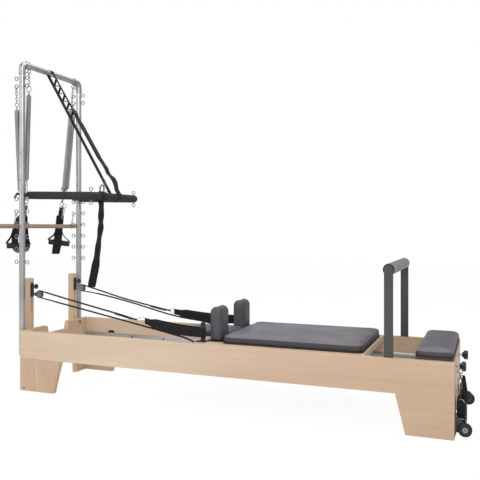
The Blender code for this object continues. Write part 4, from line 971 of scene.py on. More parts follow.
def puffed(mesh, held_below, cap, voxel=0.005):
    """The mesh after a short cloth simulation that blows it out; no point moves further than cap."""
    scene = bpy.context.scene
    obj = new_object("puffed", mesh)
    bpy.context.view_layer.objects.active = obj
    remesh = obj.modifiers.new("remesh", "REMESH")
    remesh.mode = "VOXEL"
    remesh.voxel_size = voxel
    obj.data = evaluated(obj)
    obj.modifiers.clear()
    before = [v.co.copy() for v in obj.data.vertices]
    held = obj.vertex_groups.new(name="held")
    held.add([v.index for v in obj.data.vertices if v.co.z < held_below], 1.0, "REPLACE")
    cloth = obj.modifiers.new("cloth", "CLOTH")
    cloth.settings.quality = 6
    cloth.settings.mass = 0.3
    cloth.settings.tension_stiffness = 40
    cloth.settings.compression_stiffness = 40
    cloth.settings.bending_stiffness = 4
    cloth.settings.use_pressure = True
    cloth.settings.uniform_pressure_force = CLOTH_PRESSURE
    cloth.settings.vertex_group_mass = "held"
    cloth.settings.effector_weights.gravity = 0
    cloth.point_cache.frame_start = 1
    cloth.point_cache.frame_end = CLOTH_FRAMES
    for step in range(1, CLOTH_FRAMES + 1):
        scene.frame_set(step)
    blown = evaluated(obj)
    for vertex, start in zip(blown.vertices, before):
        move = vertex.co - start
        if move.length > cap:
            move = move.normalized() * cap
        vertex.co = start + move
    scene.frame_set(1)
    bpy.data.objects.remove(obj)
    bm = bmesh.new()
    bm.from_mesh(blown)
    for _ in range(3):
        bmesh.ops.smooth_vert(
            bm, verts=bm.verts, factor=0.5, use_axis_x=True, use_axis_y=True, use_axis_z=True,
        )
    for face in bm.faces:
        face.smooth = True
    bm.to_mesh(blown)
    bm.free()
    return blown


def welt(x, y, z, corner, radius, inset):
    """A piped seam round a pad."""
    half_x, half_y = (x[1] - x[0]) / 2 - inset, (y[1] - y[0]) / 2 - inset
    middle = Vector(((x[0] + x[1]) / 2, (y[0] + y[1]) / 2, z))
    path = [middle + Vector((a, b, 0)) for a, b in rounded_outline(half_x, half_y, corner, 8)]
    return wire(path, radius, 8, closed=True)


def make_pads():
    low = CARRIAGE_TOP + 0.0012
    pads = (
        ("carriage_cushion", "carriage", (0.055, 0.820), (-0.285, 0.285), (low, 0.407), 0.035),
        ("platform_cushion", "frame", (1.067, HALF_LENGTH), (-0.305, 0.305), (0.3732, 0.410), 0.022),
        ("headrest", "headrest", (-0.25, 0.040), (-0.100, 0.100), (low, 0.402), 0.025),
    )
    for node, body, x, y, z, corner in pads:
        inner_x = (x[0] + PAD_SLACK, x[1] - PAD_SLACK)
        inner_y = (y[0] + PAD_SLACK, y[1] - PAD_SLACK)
        base = z[0] + PAD_BOARD
        height = (base, z[1] - PAD_SLACK + PAD_CROWN)
        rough = pad_mesh(inner_x, inner_y, height, corner, PAD_EDGE, PAD_CROWN)
        # The headrest's top takes a darker copy of the pad vinyl, as painted shade.
        top = HEADREST_SHADED_VINYL if node == "headrest" else PAD_VINYL
        # Painted shade: the side and under faces of each cover take the darker vinyl, the upward faces the
        # lighter one.
        cover = paint_side_shade(puffed(rough, base + 0.003, COVER_CAP), top, PAD_SHADED_SIDE_VINYL)
        shape = rounded_outline((x[1] - x[0]) / 2 - 0.004, (y[1] - y[0]) / 2 - 0.004, corner - 0.004, 6)
        middle = ((x[0] + x[1]) / 2, (y[0] + y[1]) / 2, z[0])
        board = plate(shape, X_AXIS, Y_AXIS, middle, 0.0035, 0.0008)
        seam = welt(x, y, z[0] + 0.0045, corner - 0.002, 0.0014, 0.0028)
        meshes = [*cover, painted(board, BLACK_PLASTIC), painted(seam, PAD_SHADED_SIDE_VINYL)]
        made = piece(f"{node}_cover", meshes, body, [node])


REST_HALF = 0.036
REST_TOP = 0.552
REST_INNER = 0.109
REST_WIDTH = 0.122
REST_Y = 0.170
REST_PLATE = 0.004
# For each ring of a shoulder rest, its place across the width and how far it is drawn in
REST_RINGS = (
    (0, 0.016), (0.02, 0.009), (0.06, 0.0035), (0.14, 0.0008), (0.3, 0), (0.7, 0), (0.86, 0.0008),
    (0.94, 0.0035),
    (0.98, 0.009), (1, 0.016),
)


def make_shoulder_rests():
    low = CARRIAGE_TOP + 0.0012
    middle_z = (low + REST_TOP) / 2
    reach = REST_HALF - 0.002
    outline = [(reach, low + 0.007)]
    outline += [(reach, low + 0.007 + (REST_TOP - REST_HALF - low) * k / 8) for k in (2, 4, 6)]
    dome = arc((0, REST_TOP - REST_HALF - 0.002, 0), X_AXIS, Y_AXIS, reach, 0, 180, 16)
    outline += [(p.x, p.y) for p in dome]
    outline += [(-u, v) for u, v in outline[3::-1]]
    head = [(0, 0.0045), (0.003, 0.0045), (0.004, 0.002)]
    for side, sign in sides():
        rings = []
        for share, inset in REST_RINGS:
            y = sign * (REST_INNER + share * REST_WIDTH)
            shrink = 1 - inset / REST_HALF
            ring = []
            for u, v in outline:
                rise = (v - middle_z) * (1 - inset / (REST_TOP - middle_z)) if v > middle_z else v - middle_z
                ring.append((u * shrink, y, middle_z + rise))
            rings.append(ring)
        meshes = [painted(puffed(loft(rings), low + 0.010, COVER_CAP, 0.0045), REST_VINYL)]
        shape = rounded_outline(0.052, 0.071, 0.008, 4)
        base = plate(shape, X_AXIS, Y_AXIS, (0.002, sign * REST_Y, low), REST_PLATE, 0.001)
        meshes.append(painted(base, BLACK_STEEL))
        for share in (0.13, 0.87):
            y = sign * (REST_INNER + share * REST_WIDTH)
            path = [(u * 0.985, y, v if v < middle_z else v - 0.0006) for u, v in outline]
            meshes.append(painted(wire(path, 0.0015, 8), REST_VINYL))
        y = (sign * REST_Y - 0.058, sign * REST_Y + 0.058)
        meshes.append(painted(box((0.0375, 0.0465), y, (low + 0.001, 0.392), 0.0012), BLACK_STEEL))
        for y in (0.115, 0.225):
            spot = (-0.043, sign * y, low + REST_PLATE - 0.001)
            meshes.append(painted(turned(spot, Z_AXIS, head, 12), BRIGHT))
        cover = f"shoulder_rest_{side}_cover"
        made = piece(cover, meshes, "carriage", [f"shoulder_rest_{side}"])


make_pads()
make_shoulder_rests()


# Chains, hooks and springs
def oval(start, stop, wide, narrow, gauge, face, steps=8):
    """A closed wire round two arcs, wide at start and narrow at stop; gauge is the wire's radius."""
    start, stop = Vector(start), Vector(stop)
    along = (stop - start).normalized()
    across = Vector(face).cross(along).normalized()
    path = arc(start + along * wide / 2, -along, across, wide / 2, -90, 90, steps)
    path += arc(stop - along * narrow / 2, -along, across, narrow / 2, 90, 270, steps)
    return wire(path, gauge, 8, closed=True)


def chain(start, stop, length, width, gauge, material):
    """Links one through the next, each a quarter turn from the one before."""
    start = Vector(start)
    run = Vector(stop) - start
    count = max(1, round(run.length / (length - 3 * gauge)))
    pitch = run.length / count
    half = pitch / 2 + gauge * 1.2
    link = oval((0, 0, -half), (0, 0, half), width, width, gauge, X_AXIS, 5)
    made = row(link, count, (0, 0, pitch / 2), (0, 0, pitch), material, (0, 0, math.pi / 2))
    made.transform(Matrix.Translation(start) @ run.to_track_quat("Z", "Y").to_matrix().to_4x4())
    return made


def snap_hook(start, stop, wide, gauge, face):
    """A pear-shaped hook with a thicker spring gate down one side."""
    start, stop = Vector(start), Vector(stop)
    run = stop - start
    along = run.normalized()
    across = Vector(face).cross(along).normalized()
    body = oval(start, stop, wide, wide * 0.55, gauge, face)
    hinge = start + along * run.length * 0.30 + across * wide * 0.46
    tip = start + along * run.length * 0.72 + across * wide * 0.34
    way = tip - hinge
    gate = turned(hinge, way, [(0, gauge * 1.2), (0.002, gauge * 1.7), (way.length, gauge * 1.5)], 10)
    return [painted(body, BRIGHT), painted(gate, BRIGHT)]


def tight_coil(high, low, radius, gauge, taper, per_turn=16):
    """Turns of wire that touch, drawn in at both ends."""
    high, low = Vector(high), Vector(low)
    axis, u, v = frame_about(low - high)
    run = (low - high).length
    turns = int(run / (2.06 * gauge))
    path = []
    for i in range(turns * per_turn + 1):
        t = i / per_turn
        edge = min(t, turns - t)
        r = (radius - gauge) * min(1.0, 0.22 + 0.78 * (edge / taper) ** 0.7)
        angle = 2 * math.pi * t
        path.append(high + axis * run * t / turns + r * (math.cos(angle) * u + math.sin(angle) * v))
    return wire(path, gauge, 6)


SPRING_RADIUS = 0.015
SPRING_GAUGE = 0.0013
HANDLE_RING = 0.016
HANDLE_RING_X = -1.305
HANDLE_RING_Z = {"near": 1.150, "far": 1.141}
HANDLE_RING_Y = {"near": -0.210, "far": 0.149}
# For each side the inner and the outer coil, from its top to its foot, and its large ring
COILS = {
    "near": (
        ((-1.2700, -0.225, 1.818), (-1.2920, -0.222, 1.275), 0.018),
        ((-1.3040, -0.2940, 1.715), (-1.3090, -0.258, 1.202), 0.013),
    ),
    "far": (
        ((-1.2700, 0.205, 1.799), (-1.2900, 0.150, 1.225), 0.009),
        ((-1.3040, 0.270, 1.760), (-1.3090, 0.207, 1.245), 0.009),
    ),
}


def make_tower_springs():
    for side, sign in sides():
        eyes = (
            Vector((UPRIGHT_X, sign * TOP_EYES_Y[0], TOWER_TOP - EYE_REACH)),
            Vector((UPRIGHT_X - EYE_REACH_BACK, sign * UPRIGHT_Y, EYE_HEIGHTS[1])),
        )
        for place, eye, (top, foot, ring), shift in zip(
            ("inner", "outer"), eyes, COILS[side], (0.0035, -0.0035),
        ):
            top, foot = Vector(top), Vector(foot)
            up = (eye - top).normalized()
            stop = Vector(
                (HANDLE_RING_X + shift, HANDLE_RING_Y[side], HANDLE_RING_Z[side] + HANDLE_RING - 0.002)
            )
            down = (stop - foot).normalized()
            meshes = [painted(tight_coil(top, foot, SPRING_RADIUS, SPRING_GAUGE, 6), SPRING_STEEL)]
            ring_middle = top + up * (0.012 + ring)
            meshes.append(
                painted(oval(top - up * 0.004, top + up * 0.016, 0.008, 0.008, 0.0016, X_AXIS), BRIGHT)
            )
            meshes.append(
                painted(torus(ring_middle, X_AXIS if ring < 0.012 else Y_AXIS, ring, 0.0020, 28), BRIGHT)
            )
            under = eye - up * (EYE_RING - 0.004)
            links_top = under - up * 0.030
            links_foot = ring_middle + up * (ring - 0.002)
            if (links_top - links_foot).dot(up) > 0.012:
                meshes += snap_hook(links_top - up * 0.003, under, 0.014, 0.0018, X_AXIS)
                meshes.append(chain(links_foot, links_top, 0.022, 0.012, 0.0017, BRIGHT))
            else:
                meshes.append(painted(oval(links_foot, under, 0.012, 0.009, 0.0015, X_AXIS), BRIGHT))
            loop_middle = foot + down * 0.016
            meshes.append(
                painted(oval(foot - down * 0.004, foot + down * 0.010, 0.008, 0.008, 0.0014, X_AXIS), BRIGHT)
            )
            meshes.append(painted(torus(loop_middle, Y_AXIS, 0.009, 0.0019, 20), BRIGHT))
            hook_top = loop_middle + down * 0.006
            meshes += snap_hook(hook_top, stop, 0.016, 0.0018, X_AXIS)
            piece(
                f"tower_spring_{side}_{place}_coil", meshes, "frame",
                [f"tower_spring_{side}_{place}"],
            )


# Springs under the carriage, from the fixed bar to the rod on the carriage
SPRING_BAR_X = 1.10
HOOK_ROD_X = 0.47
SPRING_BAR_Z = 0.285
CARRIAGE_SPRING_RADIUS = 0.0165
CARRIAGE_SPRING_GAUGE = 0.0016


def make_carriage_springs():
    for i, y in enumerate((-0.14, 0.0, 0.14), 1):
        start = Vector((SPRING_BAR_X, y, SPRING_BAR_Z))
        stop = Vector((HOOK_ROD_X, y, SPRING_BAR_Z))
        coil_start, coil_stop = start - 0.05 * X_AXIS, stop + 0.05 * X_AXIS
        coil = tight_coil(coil_start, coil_stop, CARRIAGE_SPRING_RADIUS, CARRIAGE_SPRING_GAUGE, 6, 14)
        meshes = [painted(coil, SPRING_STEEL)]
        for end, hook, way in ((coil_start, start, 1), (coil_stop, stop, -1)):
            radius = 0.0112
            turns = [Vector(p) for p in arc(hook, -way * X_AXIS, Z_AXIS, radius, 10, 300, 14)]
            path = [end - way * 0.004 * X_AXIS, end + way * 0.014 * X_AXIS + 0.004 * Z_AXIS, *turns]
            meshes.append(painted(wire(path, 0.0018, 8), BRIGHT))
            cap = [(-0.004, 0.010), (0.0, 0.0155), (0.010, 0.0168), (0.016, 0.0168), (0.017, 0.015)]
            look = RUBBER if way > 0 else BLACK_PLASTIC
            meshes.append(painted(turned(end, -way * X_AXIS, cap, 24), look))
        made = piece(f"carriage_spring_{i}_coil", meshes, None, [f"carriage_spring_{i}"])
        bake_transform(made)


# Handles that hang on the tower springs
HANDLE_SIDE = Vector((1, 1, 0)).normalized()
HANDLE_FRONT = Vector((1, -1, 0)).normalized()


def handle_hardware(side):
    ring = Vector((HANDLE_RING_X, HANDLE_RING_Y[side], HANDLE_RING_Z[side]))
    meshes = [painted(torus(ring, Y_AXIS, HANDLE_RING, 0.0022, 32), BRIGHT)]
    shift = 0.010 * HANDLE_SIDE
    d_ring = oval(
        ring - Z_AXIS * 0.010 - shift * 0.4, ring - Z_AXIS * 0.036 - shift * 0.4, 0.024, 0.020, 0.0018,
        HANDLE_FRONT,
    )
    meshes.append(painted(d_ring, BRIGHT))
    return meshes


def grip_bar(middle, drop, radius=0.0165):
    """A foam tube with a rim at each end; the strap that runs along its top and turns down over both ends is
    drawn by hand_straps.
    """
    half = 0.069
    ends = [middle - HANDLE_SIDE * half + Z_AXIS * drop / 2, middle + HANDLE_SIDE * half - Z_AXIS * drop / 2]
    way = ends[1] - ends[0]
    run = way.length
    profile = [(0, radius - 0.002), (0.0015, radius), (run - 0.0015, radius), (run, radius - 0.002)]
    rim = [(0, 0.005), (-0.0012, 0.006), (-0.0016, 0.004), (-0.0016, 0.001)]
    meshes = [painted(turned(ends[0], way, profile, 24), FOAM)]
    meshes.append(painted(turned(ends[1], way, [(-d, r) for d, r in rim], 16), BLACK_PLASTIC))
    meshes.append(painted(turned(ends[0], way, rim, 16), BLACK_PLASTIC))
    return ends, meshes


def hand_straps(ends, apex, width, across):
    meshes = []
    for end, way in zip(ends, (-1, 1)):
        side = (ends[1] - ends[0]).normalized()
        outside = end + side * way * 0.0025
        path = curve_through(
            [apex + side * way * 0.014, apex.lerp(outside, 0.5) + Z_AXIS * 0.004, outside + Z_AXIS * 0.018],
            6,
        )
        meshes.append(
            painted(ribbon(path, side * way + Z_AXIS, width if way < 0 else width * 0.6, 0.0022), WEBBING)
        )
        meshes.append(painted(box_at(outside + Z_AXIS * 0.014, (0.004, 0.012, 0.006)), BLACK_PLASTIC))
    top = [end + Z_AXIS * 0.0190 for end in ends]
    run = [top[0].lerp(top[1], k / 6) for k in range(7)]
    meshes.append(painted(ribbon(run, across, 0.020, 0.0034), WEBBING))
    return meshes


def box_at(middle, size):
    x, y, z = (s / 2 for s in size)
    return box(
        (middle.x - x, middle.x + x), (middle.y - y, middle.y + y), (middle.z - z, middle.z + z),
        min(size) / 5,
    )


def stitches(path, across, width, thick, inset=0.003):
    """Two rows of stitches on each face of a strip of webbing."""
    path = [Vector(p) for p in path]
    meshes = []
    for edge in (-1, 1):
        for face in (-1, 1):
            for a, b in zip(path[:-1], path[1:]):
                tangent = (b - a).normalized()
                wide = square_to(Vector(across), tangent)
                out = tangent.cross(wide).normalized()
                shift = wide * edge * (width / 2 - inset) + out * face * (thick / 2 + 0.0001)
                thread = wire([a + shift + (b - a) * 0.12, a + shift + (b - a) * 0.78], 0.00045, 4)
                meshes.append(painted(thread, STITCH))
    return together(meshes)


def make_far_handle():
    meshes = handle_hardware("far")
    top = Vector((-1.3075, 0.150, 1.120))
    knee = Vector((-1.3610, 0.203, 1.046))
    upper = curve_through([top, (-1.3320, 0.173, 1.088), knee, (-1.3745, 0.2150, 1.012)], 6)
    meshes.append(painted(ribbon(upper, HANDLE_SIDE, 0.030, 0.0045), WEBBING))
    front = [
        (-1.3560, 0.198, 1.068), (-1.3735, 0.2145, 1.020), (-1.3745, 0.2090, 0.985), (-1.3640, 0.1900, 0.940),
        (-1.3520, 0.1700, 0.900), (-1.3520, 0.1660, 0.870), (-1.3600, 0.1640, 0.835),
        (-1.3690, 0.1680, 0.8095),
    ]
    back = [
        (-1.3760, 0.1740, 0.8080), (-1.3800, 0.1840, 0.840), (-1.3810, 0.1960, 0.885),
        (-1.3800, 0.2060, 0.940),
        (-1.3790, 0.2150, 0.990), (-1.3775, 0.2190, 1.025), (-1.3590, 0.2010, 1.0685),
    ]
    loop = curve_through([*front, *back], 5)[:-1]
    meshes.append(painted(ribbon(loop, HANDLE_SIDE, 0.050, 0.0032, closed=True), WEBBING))
    meshes.append(stitches(loop[18:40], HANDLE_SIDE, 0.050, 0.0032))
    ends, grip = grip_bar(Vector((-1.3600, 0.1893, 0.8785)), 0.018)
    meshes += grip
    meshes += hand_straps(ends, Vector((-1.3740, 0.205, 0.972)), 0.011, HANDLE_FRONT)
    hook = Vector((-1.2990, 0.166, 1.122))
    meshes.append(painted(torus(hook + Vector((0, 0, 0.010)), HANDLE_FRONT, 0.014, 0.0018, 24), BRIGHT))
    meshes += snap_hook(hook, hook + Vector((-0.012, -0.006, -0.066)), 0.013, 0.0016, HANDLE_FRONT)
    links = hook + Vector((-0.014, -0.004, -0.068))
    link = oval(links + Z_AXIS * 0.006, links - Z_AXIS * 0.014, 0.012, 0.012, 0.0016, HANDLE_FRONT)
    meshes.append(painted(link, BRIGHT))
    piece("handle_far_webbing", meshes, "handle_far", ["handle_far"])


def make_near_handle():
    meshes = handle_hardware("near")
    wide = Vector((1, 0.30, 0)).normalized()
    top = Vector((-1.3075, -0.206, 1.124))
    upper = curve_through([top, (-1.322, -0.200, 1.098), (-1.346, -0.176, 1.076), (-1.374, -0.158, 1.046)], 6)
    meshes.append(painted(ribbon(upper, HANDLE_SIDE, 0.024, 0.0045), WEBBING))
    left = [
        (-1.364, -0.163, 1.066), (-1.379, -0.177, 1.045), (-1.384, -0.191, 1.012), (-1.384, -0.205, 0.970),
        (-1.384, -0.219, 0.910), (-1.384, -0.212, 0.858), (-1.384, -0.192, 0.835), (-1.384, -0.164, 0.826),
    ]
    right = [
        (-1.384, -0.136, 0.838), (-1.384, -0.116, 0.862), (-1.384, -0.114, 0.900), (-1.384, -0.122, 0.925),
        (-1.384, -0.127, 0.972), (-1.384, -0.132, 1.018), (-1.376, -0.142, 1.052),
    ]
    loop = curve_through([*left, *right], 6)[:-1]
    meshes.append(painted(ribbon(loop, wide, 0.045, 0.0032, closed=True), WEBBING))
    meshes.append(stitches(loop[8:32], wide, 0.045, 0.0032))
    meshes.append(stitches(loop[58:80], wide, 0.045, 0.0032))
    ends, grip = grip_bar(Vector((-1.3740, -0.1990, 0.8690)), 0.002)
    meshes += grip
    meshes += hand_straps(ends, Vector((-1.3850, -0.206, 0.985)), 0.012, HANDLE_FRONT)
    piece("handle_near_webbing", meshes, "handle_near", ["handle_near"])


# Wooden bar for rolling down
DOWEL_X = -1.331
DOWEL_Z = 0.994
DOWEL_RADIUS = 0.0145
DOWEL_Y = (-0.608, 0.330)


def make_roll_down_bar():
    long = DOWEL_Y[1] - DOWEL_Y[0]
    start = (DOWEL_X, DOWEL_Y[0], DOWEL_Z)
    radius = DOWEL_RADIUS
    wooden = [
        (0.0215, radius - 0.001), (0.0225, radius - 0.0006), (long - 0.0225, radius - 0.0006),
        (long - 0.0215, radius - 0.001),
    ]
    meshes = [painted(turned(start, Y_AXIS, wooden, 32), DOWEL_WOOD)]
    ferrule = [
        (0, radius - 0.004), (0.0012, radius - 0.0012), (0.003, radius), (0.0205, radius),
        (0.022, radius - 0.0008),
    ]
    meshes.append(painted(turned(start, Y_AXIS, ferrule, 32), HUB_GREY))
    meshes.append(painted(turned((DOWEL_X, DOWEL_Y[1], DOWEL_Z), -Y_AXIS, ferrule, 32), HUB_GREY))
    eye = Vector((UPRIGHT_X - EYE_REACH_BACK, 0, EYE_HEIGHTS[3] - EYE_RING + 0.0044))
    for sign in (-1, 1):
        hook = eye + sign * UPRIGHT_Y * Y_AXIS
        seat = Vector((DOWEL_X, sign * UPRIGHT_Y, DOWEL_Z))
        fall = (seat - hook).normalized()
        meshes.append(painted(torus(hook + fall * 0.008, fall.cross(Y_AXIS), 0.008, 0.0016, 20), BRIGHT))
        meshes += snap_hook(hook + fall * 0.012, seat - fall * (radius + 0.002), 0.012, 0.0014, X_AXIS)
        band = [
            (-0.005, radius - 0.0012), (-0.005, radius + 0.0008), (0.005, radius + 0.0008),
            (0.005, radius - 0.0012),
        ]
        meshes.append(painted(turned_ring(seat, Y_AXIS, band, 32), BRIGHT))
    piece("roll_down_bar_dowel", meshes, "roll_down_bar", ["roll_down_bar"])


make_tower_springs()
make_carriage_springs()
make_far_handle()
make_near_handle()
make_roll_down_bar()


# Safety strap between the top bar and the push-through bar
STRAP_THICK = 0.0024


def make_safety_strap():
    """An endless band between the two bars, a wide band with a buckle over it, and daisy loops at the top."""
    top = Vector((UPRIGHT_X, -0.020, TOWER_TOP))
    low = Vector((PUSH_X, 0, PUSH_END_Z))
    along = (low - top).normalized()
    side = along.cross(Y_AXIS).normalized()
    run = (low - top).length
    top_radius = TUBE_RADIUS + GAP + STRAP_THICK / 2
    low_radius = PUSH_RADIUS + GAP + STRAP_THICK / 2

    def at(share, height):
        reach = top_radius + (low_radius - top_radius) * share
        return top + along * run * share + side * reach * height

    def band(path, width):
        meshes.append(painted(ribbon(path, Y_AXIS, width, STRAP_THICK), WEBBING))

    loop = arc(top, along, side, top_radius, 90, 270, 16)
    loop += [at(k / 16, -1) for k in range(1, 16)]
    loop += arc(low, along, side, low_radius, -90, 90, 16)
    meshes = []
    band(loop, 0.036)
    shares = [k / 24 for k in range(24, -1, -1)]
    upper = [at(share, 1) for share in shares]
    wide = [0.046 if share > 0.36 else 0.020 for share in shares]
    bulge = [0.0] * 25
    for k, rise in ((22, 0.018), (21, 0.020), (20, 0.003), (19, 0.010), (18, 0.005)):
        bulge[24 - k] = rise
    smooth = curve_through([p + side * b for p, b in zip(upper, bulge)], 3)
    band(smooth, [wide[min(24, i // 3)] for i in range(len(smooth))])
    band(curve_through([p + side * (0.0032 + b * 0.5) for p, b in zip(upper[:15], bulge[:15])], 3), 0.048)
    for share in (0.06, 0.125, 0.19, 0.255, 0.32):
        start, stop = at(share, 1), at(share + 0.058, 1)
        belly = start.lerp(stop, 0.55) - side * 0.031
        before, after = start.lerp(belly, 0.6) - side * 0.003, stop.lerp(belly, 0.4) - side * 0.002
        band(curve_through([start, before, belly, after, stop], 4), 0.020)
    buckle = at(0.345, 1) + side * 0.004
    frame_bar = oval(buckle - along * 0.030, buckle + along * 0.030, 0.034, 0.034, 0.0032, side, 5)
    meshes.append(painted(frame_bar, BLACK_PLASTIC))
    for shift in (-0.010, 0.010):
        spot = buckle + along * shift + side * 0.001
        meshes.append(painted(wire([spot - 0.017 * Y_AXIS, spot + 0.017 * Y_AXIS], 0.0034, 8), BLACK_PLASTIC))
    keeper = at(0.50, 1) + side * 0.002
    corners = [keeper + along * 0.006 * a + side * 0.004 * b for a, b in ((-1, -1), (-1, 1), (1, 1), (1, -1))]
    meshes.append(painted(wire(corners, 0.0018, 6, closed=True), BLACK_PLASTIC))
    seam = [at(0.44 + 0.012 * k, 1) + side * 0.0034 for k in range(26)]
    meshes.append(stitches(seam, Y_AXIS, 0.040, 0.0020))
    clip = at(0.86, -1) + 0.010 * Y_AXIS
    meshes += snap_hook(clip - along * 0.030, clip + along * 0.032, 0.016, 0.0020, side)
    made = piece("safety_strap_belt", meshes, None, ["safety_strap"])
    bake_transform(made)


def make_hanging_strap():
    """Wide webbing thrown over the push-through bar; it twists a little as it hangs."""
    radius = PUSH_RADIUS + GAP + 0.0015
    centre = Vector((PUSH_X, -0.165, PUSH_END_Z))
    around = arc(centre, X_AXIS, Z_AXIS, radius, -60, 252, 24)
    tail = [
        (-0.7790, 1.120), (-0.7820, 1.040), (-0.7840, 0.985), (-0.7990, 0.892), (-0.8120, 0.800),
        (-0.8280, 0.720),
        (-0.8500, 0.625),
    ]
    hang = curve_through([around[-1], *[(x, -0.165, z) for x, z in tail]], 7)[1:]
    path = [*around, *hang]
    ways, widths = [], []
    count = len(hang)
    for i in range(len(path)):
        share = max(0, i - len(around)) / count
        turn = math.radians(
            7 + 8 * math.sin(share * 34) * min(1, share * 4) + 46 * max(0, min(1, (share - 0.62) / 0.2))
        )
        ways.append(math.cos(turn) * Y_AXIS + math.sin(turn) * X_AXIS)
        end = max(0.0, (share - 0.955) / 0.045)
        widths.append(0.0480 * math.sqrt(max(0.05, 1 - 0.9 * end**2)))
    meshes = [painted(ribbon(path, ways, widths, 0.0028), WEBBING)]
    inner = [centre + (p - centre).normalized() * (radius + 0.0034) for p in around[2:18]]
    meshes.append(painted(ribbon(inner, Y_AXIS, 0.038, 0.0024), WEBBING))
    crest = centre + Z_AXIS * (radius + 0.002)
    bow = (
        (-0.012, 0.004, 0.001), (-0.016, 0.010, 0.026), (-0.004, 0.014, 0.044), (0.010, 0.010, 0.030),
        (0.014, 0.004, 0.001),
    )
    eye = curve_through([crest + Vector(shift) for shift in bow], 5)
    meshes.append(painted(ribbon(eye, Y_AXIS, 0.012, 0.0024), WEBBING))
    piece("hanging_strap_webbing", meshes, "hanging_strap", ["hanging_strap"])


# Ropes: an upper and a lower run towards the carriage, the wrap that rides on the pulley, and a lead that
# joins each run to the wrap
SHEAVE_GROOVE = 0.017
RUN_RADIUS = 0.0048
ROPE_END_X = {"near": -0.518, "far": -0.520}
ROPE_END_Y = 0.212
ROPE_END_Z = 0.452
UPPER_LEAD_X = -1.145
LOWER_LEAD_X = -1.074


def cut_path(path, x):
    """The path in two, cut where it crosses x; both parts hold the point of the cut."""
    for i in range(1, len(path)):
        a, b = Vector(path[i - 1]), Vector(path[i])
        if min(a.x, b.x) < x < max(a.x, b.x):
            point = a.lerp(b, (x - a.x) / (b.x - a.x))
            return [*path[:i], point], [point, *path[i:]]
    return path, []


def make_ropes():
    pitch = SHEAVE_GROOVE + ROPE_RADIUS + 0.0004
    for side, sign in sides():
        y = sign * PULLEY_Y
        end = ROPE_END_X[side]
        close = 1.0 if side == "far" else 0.0
        axle = Vector((PULLEY_X, y, PULLEY_Z))
        wrap = arc(axle, X_AXIS, Z_AXIS, pitch, 78, 281, 20)
        upper = curve_through(
            [
                (end, sign * ROPE_END_Y, ROPE_END_Z), (-0.62, sign * 0.213, 0.4755 - 0.006 * close),
                (-0.86, sign * 0.216, 0.5245 - 0.009 * close), (-1.06, sign * 0.219, 0.5668 - 0.003 * close),
                wrap[0],
            ],
            8,
        )
        lower = curve_through(
            [
                wrap[-1], (-1.06, y, 0.5285 + 0.009 * close), (-0.82, sign * 0.224, 0.486 + 0.006 * close),
                (-0.50, sign * 0.230, 0.429 - 0.010 * close),
                (-0.30, sign * 0.234, 0.393), (-0.20, sign * 0.235, 0.374), (-0.145, sign * 0.235, 0.357),
                (-0.1153, sign * 0.235, 0.345),
            ],
            8,
        )
        radius = ROPE_RADIUS - 0.0001
        run, lead = cut_path(upper, UPPER_LEAD_X)
        top = [painted(wire(run, RUN_RADIUS, 10), ROPE)]
        sleeve = [p for p in upper if end - 0.135 < p[0] < end - 0.020]
        doubled = [p - Vector((0, 0, 0.0055)) for p in sleeve]
        top.append(painted(wire(doubled, radius * 0.95, 10), ROPE))
        for x in (end - 0.035, end - 0.123):
            near = min(range(len(upper)), key=lambda i: abs(upper[i][0] - x))
            way = upper[near] - upper[near - 1]
            crimp = turned(
                upper[near] - Vector((0, 0, 0.0025)), way,
                [(-0.010, 0.0058), (-0.009, 0.0068), (0.009, 0.0068), (0.010, 0.0058)], 16,
            )
            top.append(painted(crimp, BLACK_PLASTIC))
        top_piece = piece(f"rope_{side}_upper", top, "frame", [f"rope_{side}"])
        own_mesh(top_piece)
        low_lead, low_run = cut_path(lower, LOWER_LEAD_X)
        low_piece = piece(
            f"rope_{side}_lower", [painted(wire(low_run, RUN_RADIUS, 10), ROPE)], None,
            [f"rope_{side}"],
        )
        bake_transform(low_piece)
        for part, path in (("upper", lead[::-1]), ("lower", low_lead)):
            lead_piece = piece(
                f"rope_{side}_{part}_lead", [painted(wire(path, radius, 10), ROPE)], None,
                [f"rope_{side}"],
            )
            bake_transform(lead_piece)
        piece(
            f"rope_{side}_wrap", [painted(wire(wrap, radius, 10), ROPE)], f"pulley_{side}",
            [f"rope_{side}"],
        )


LOOP_Z = 0.411
LOOP_RING_X = {"near": -0.450, "far": -0.480}
LOOP_RING_Z = 0.446


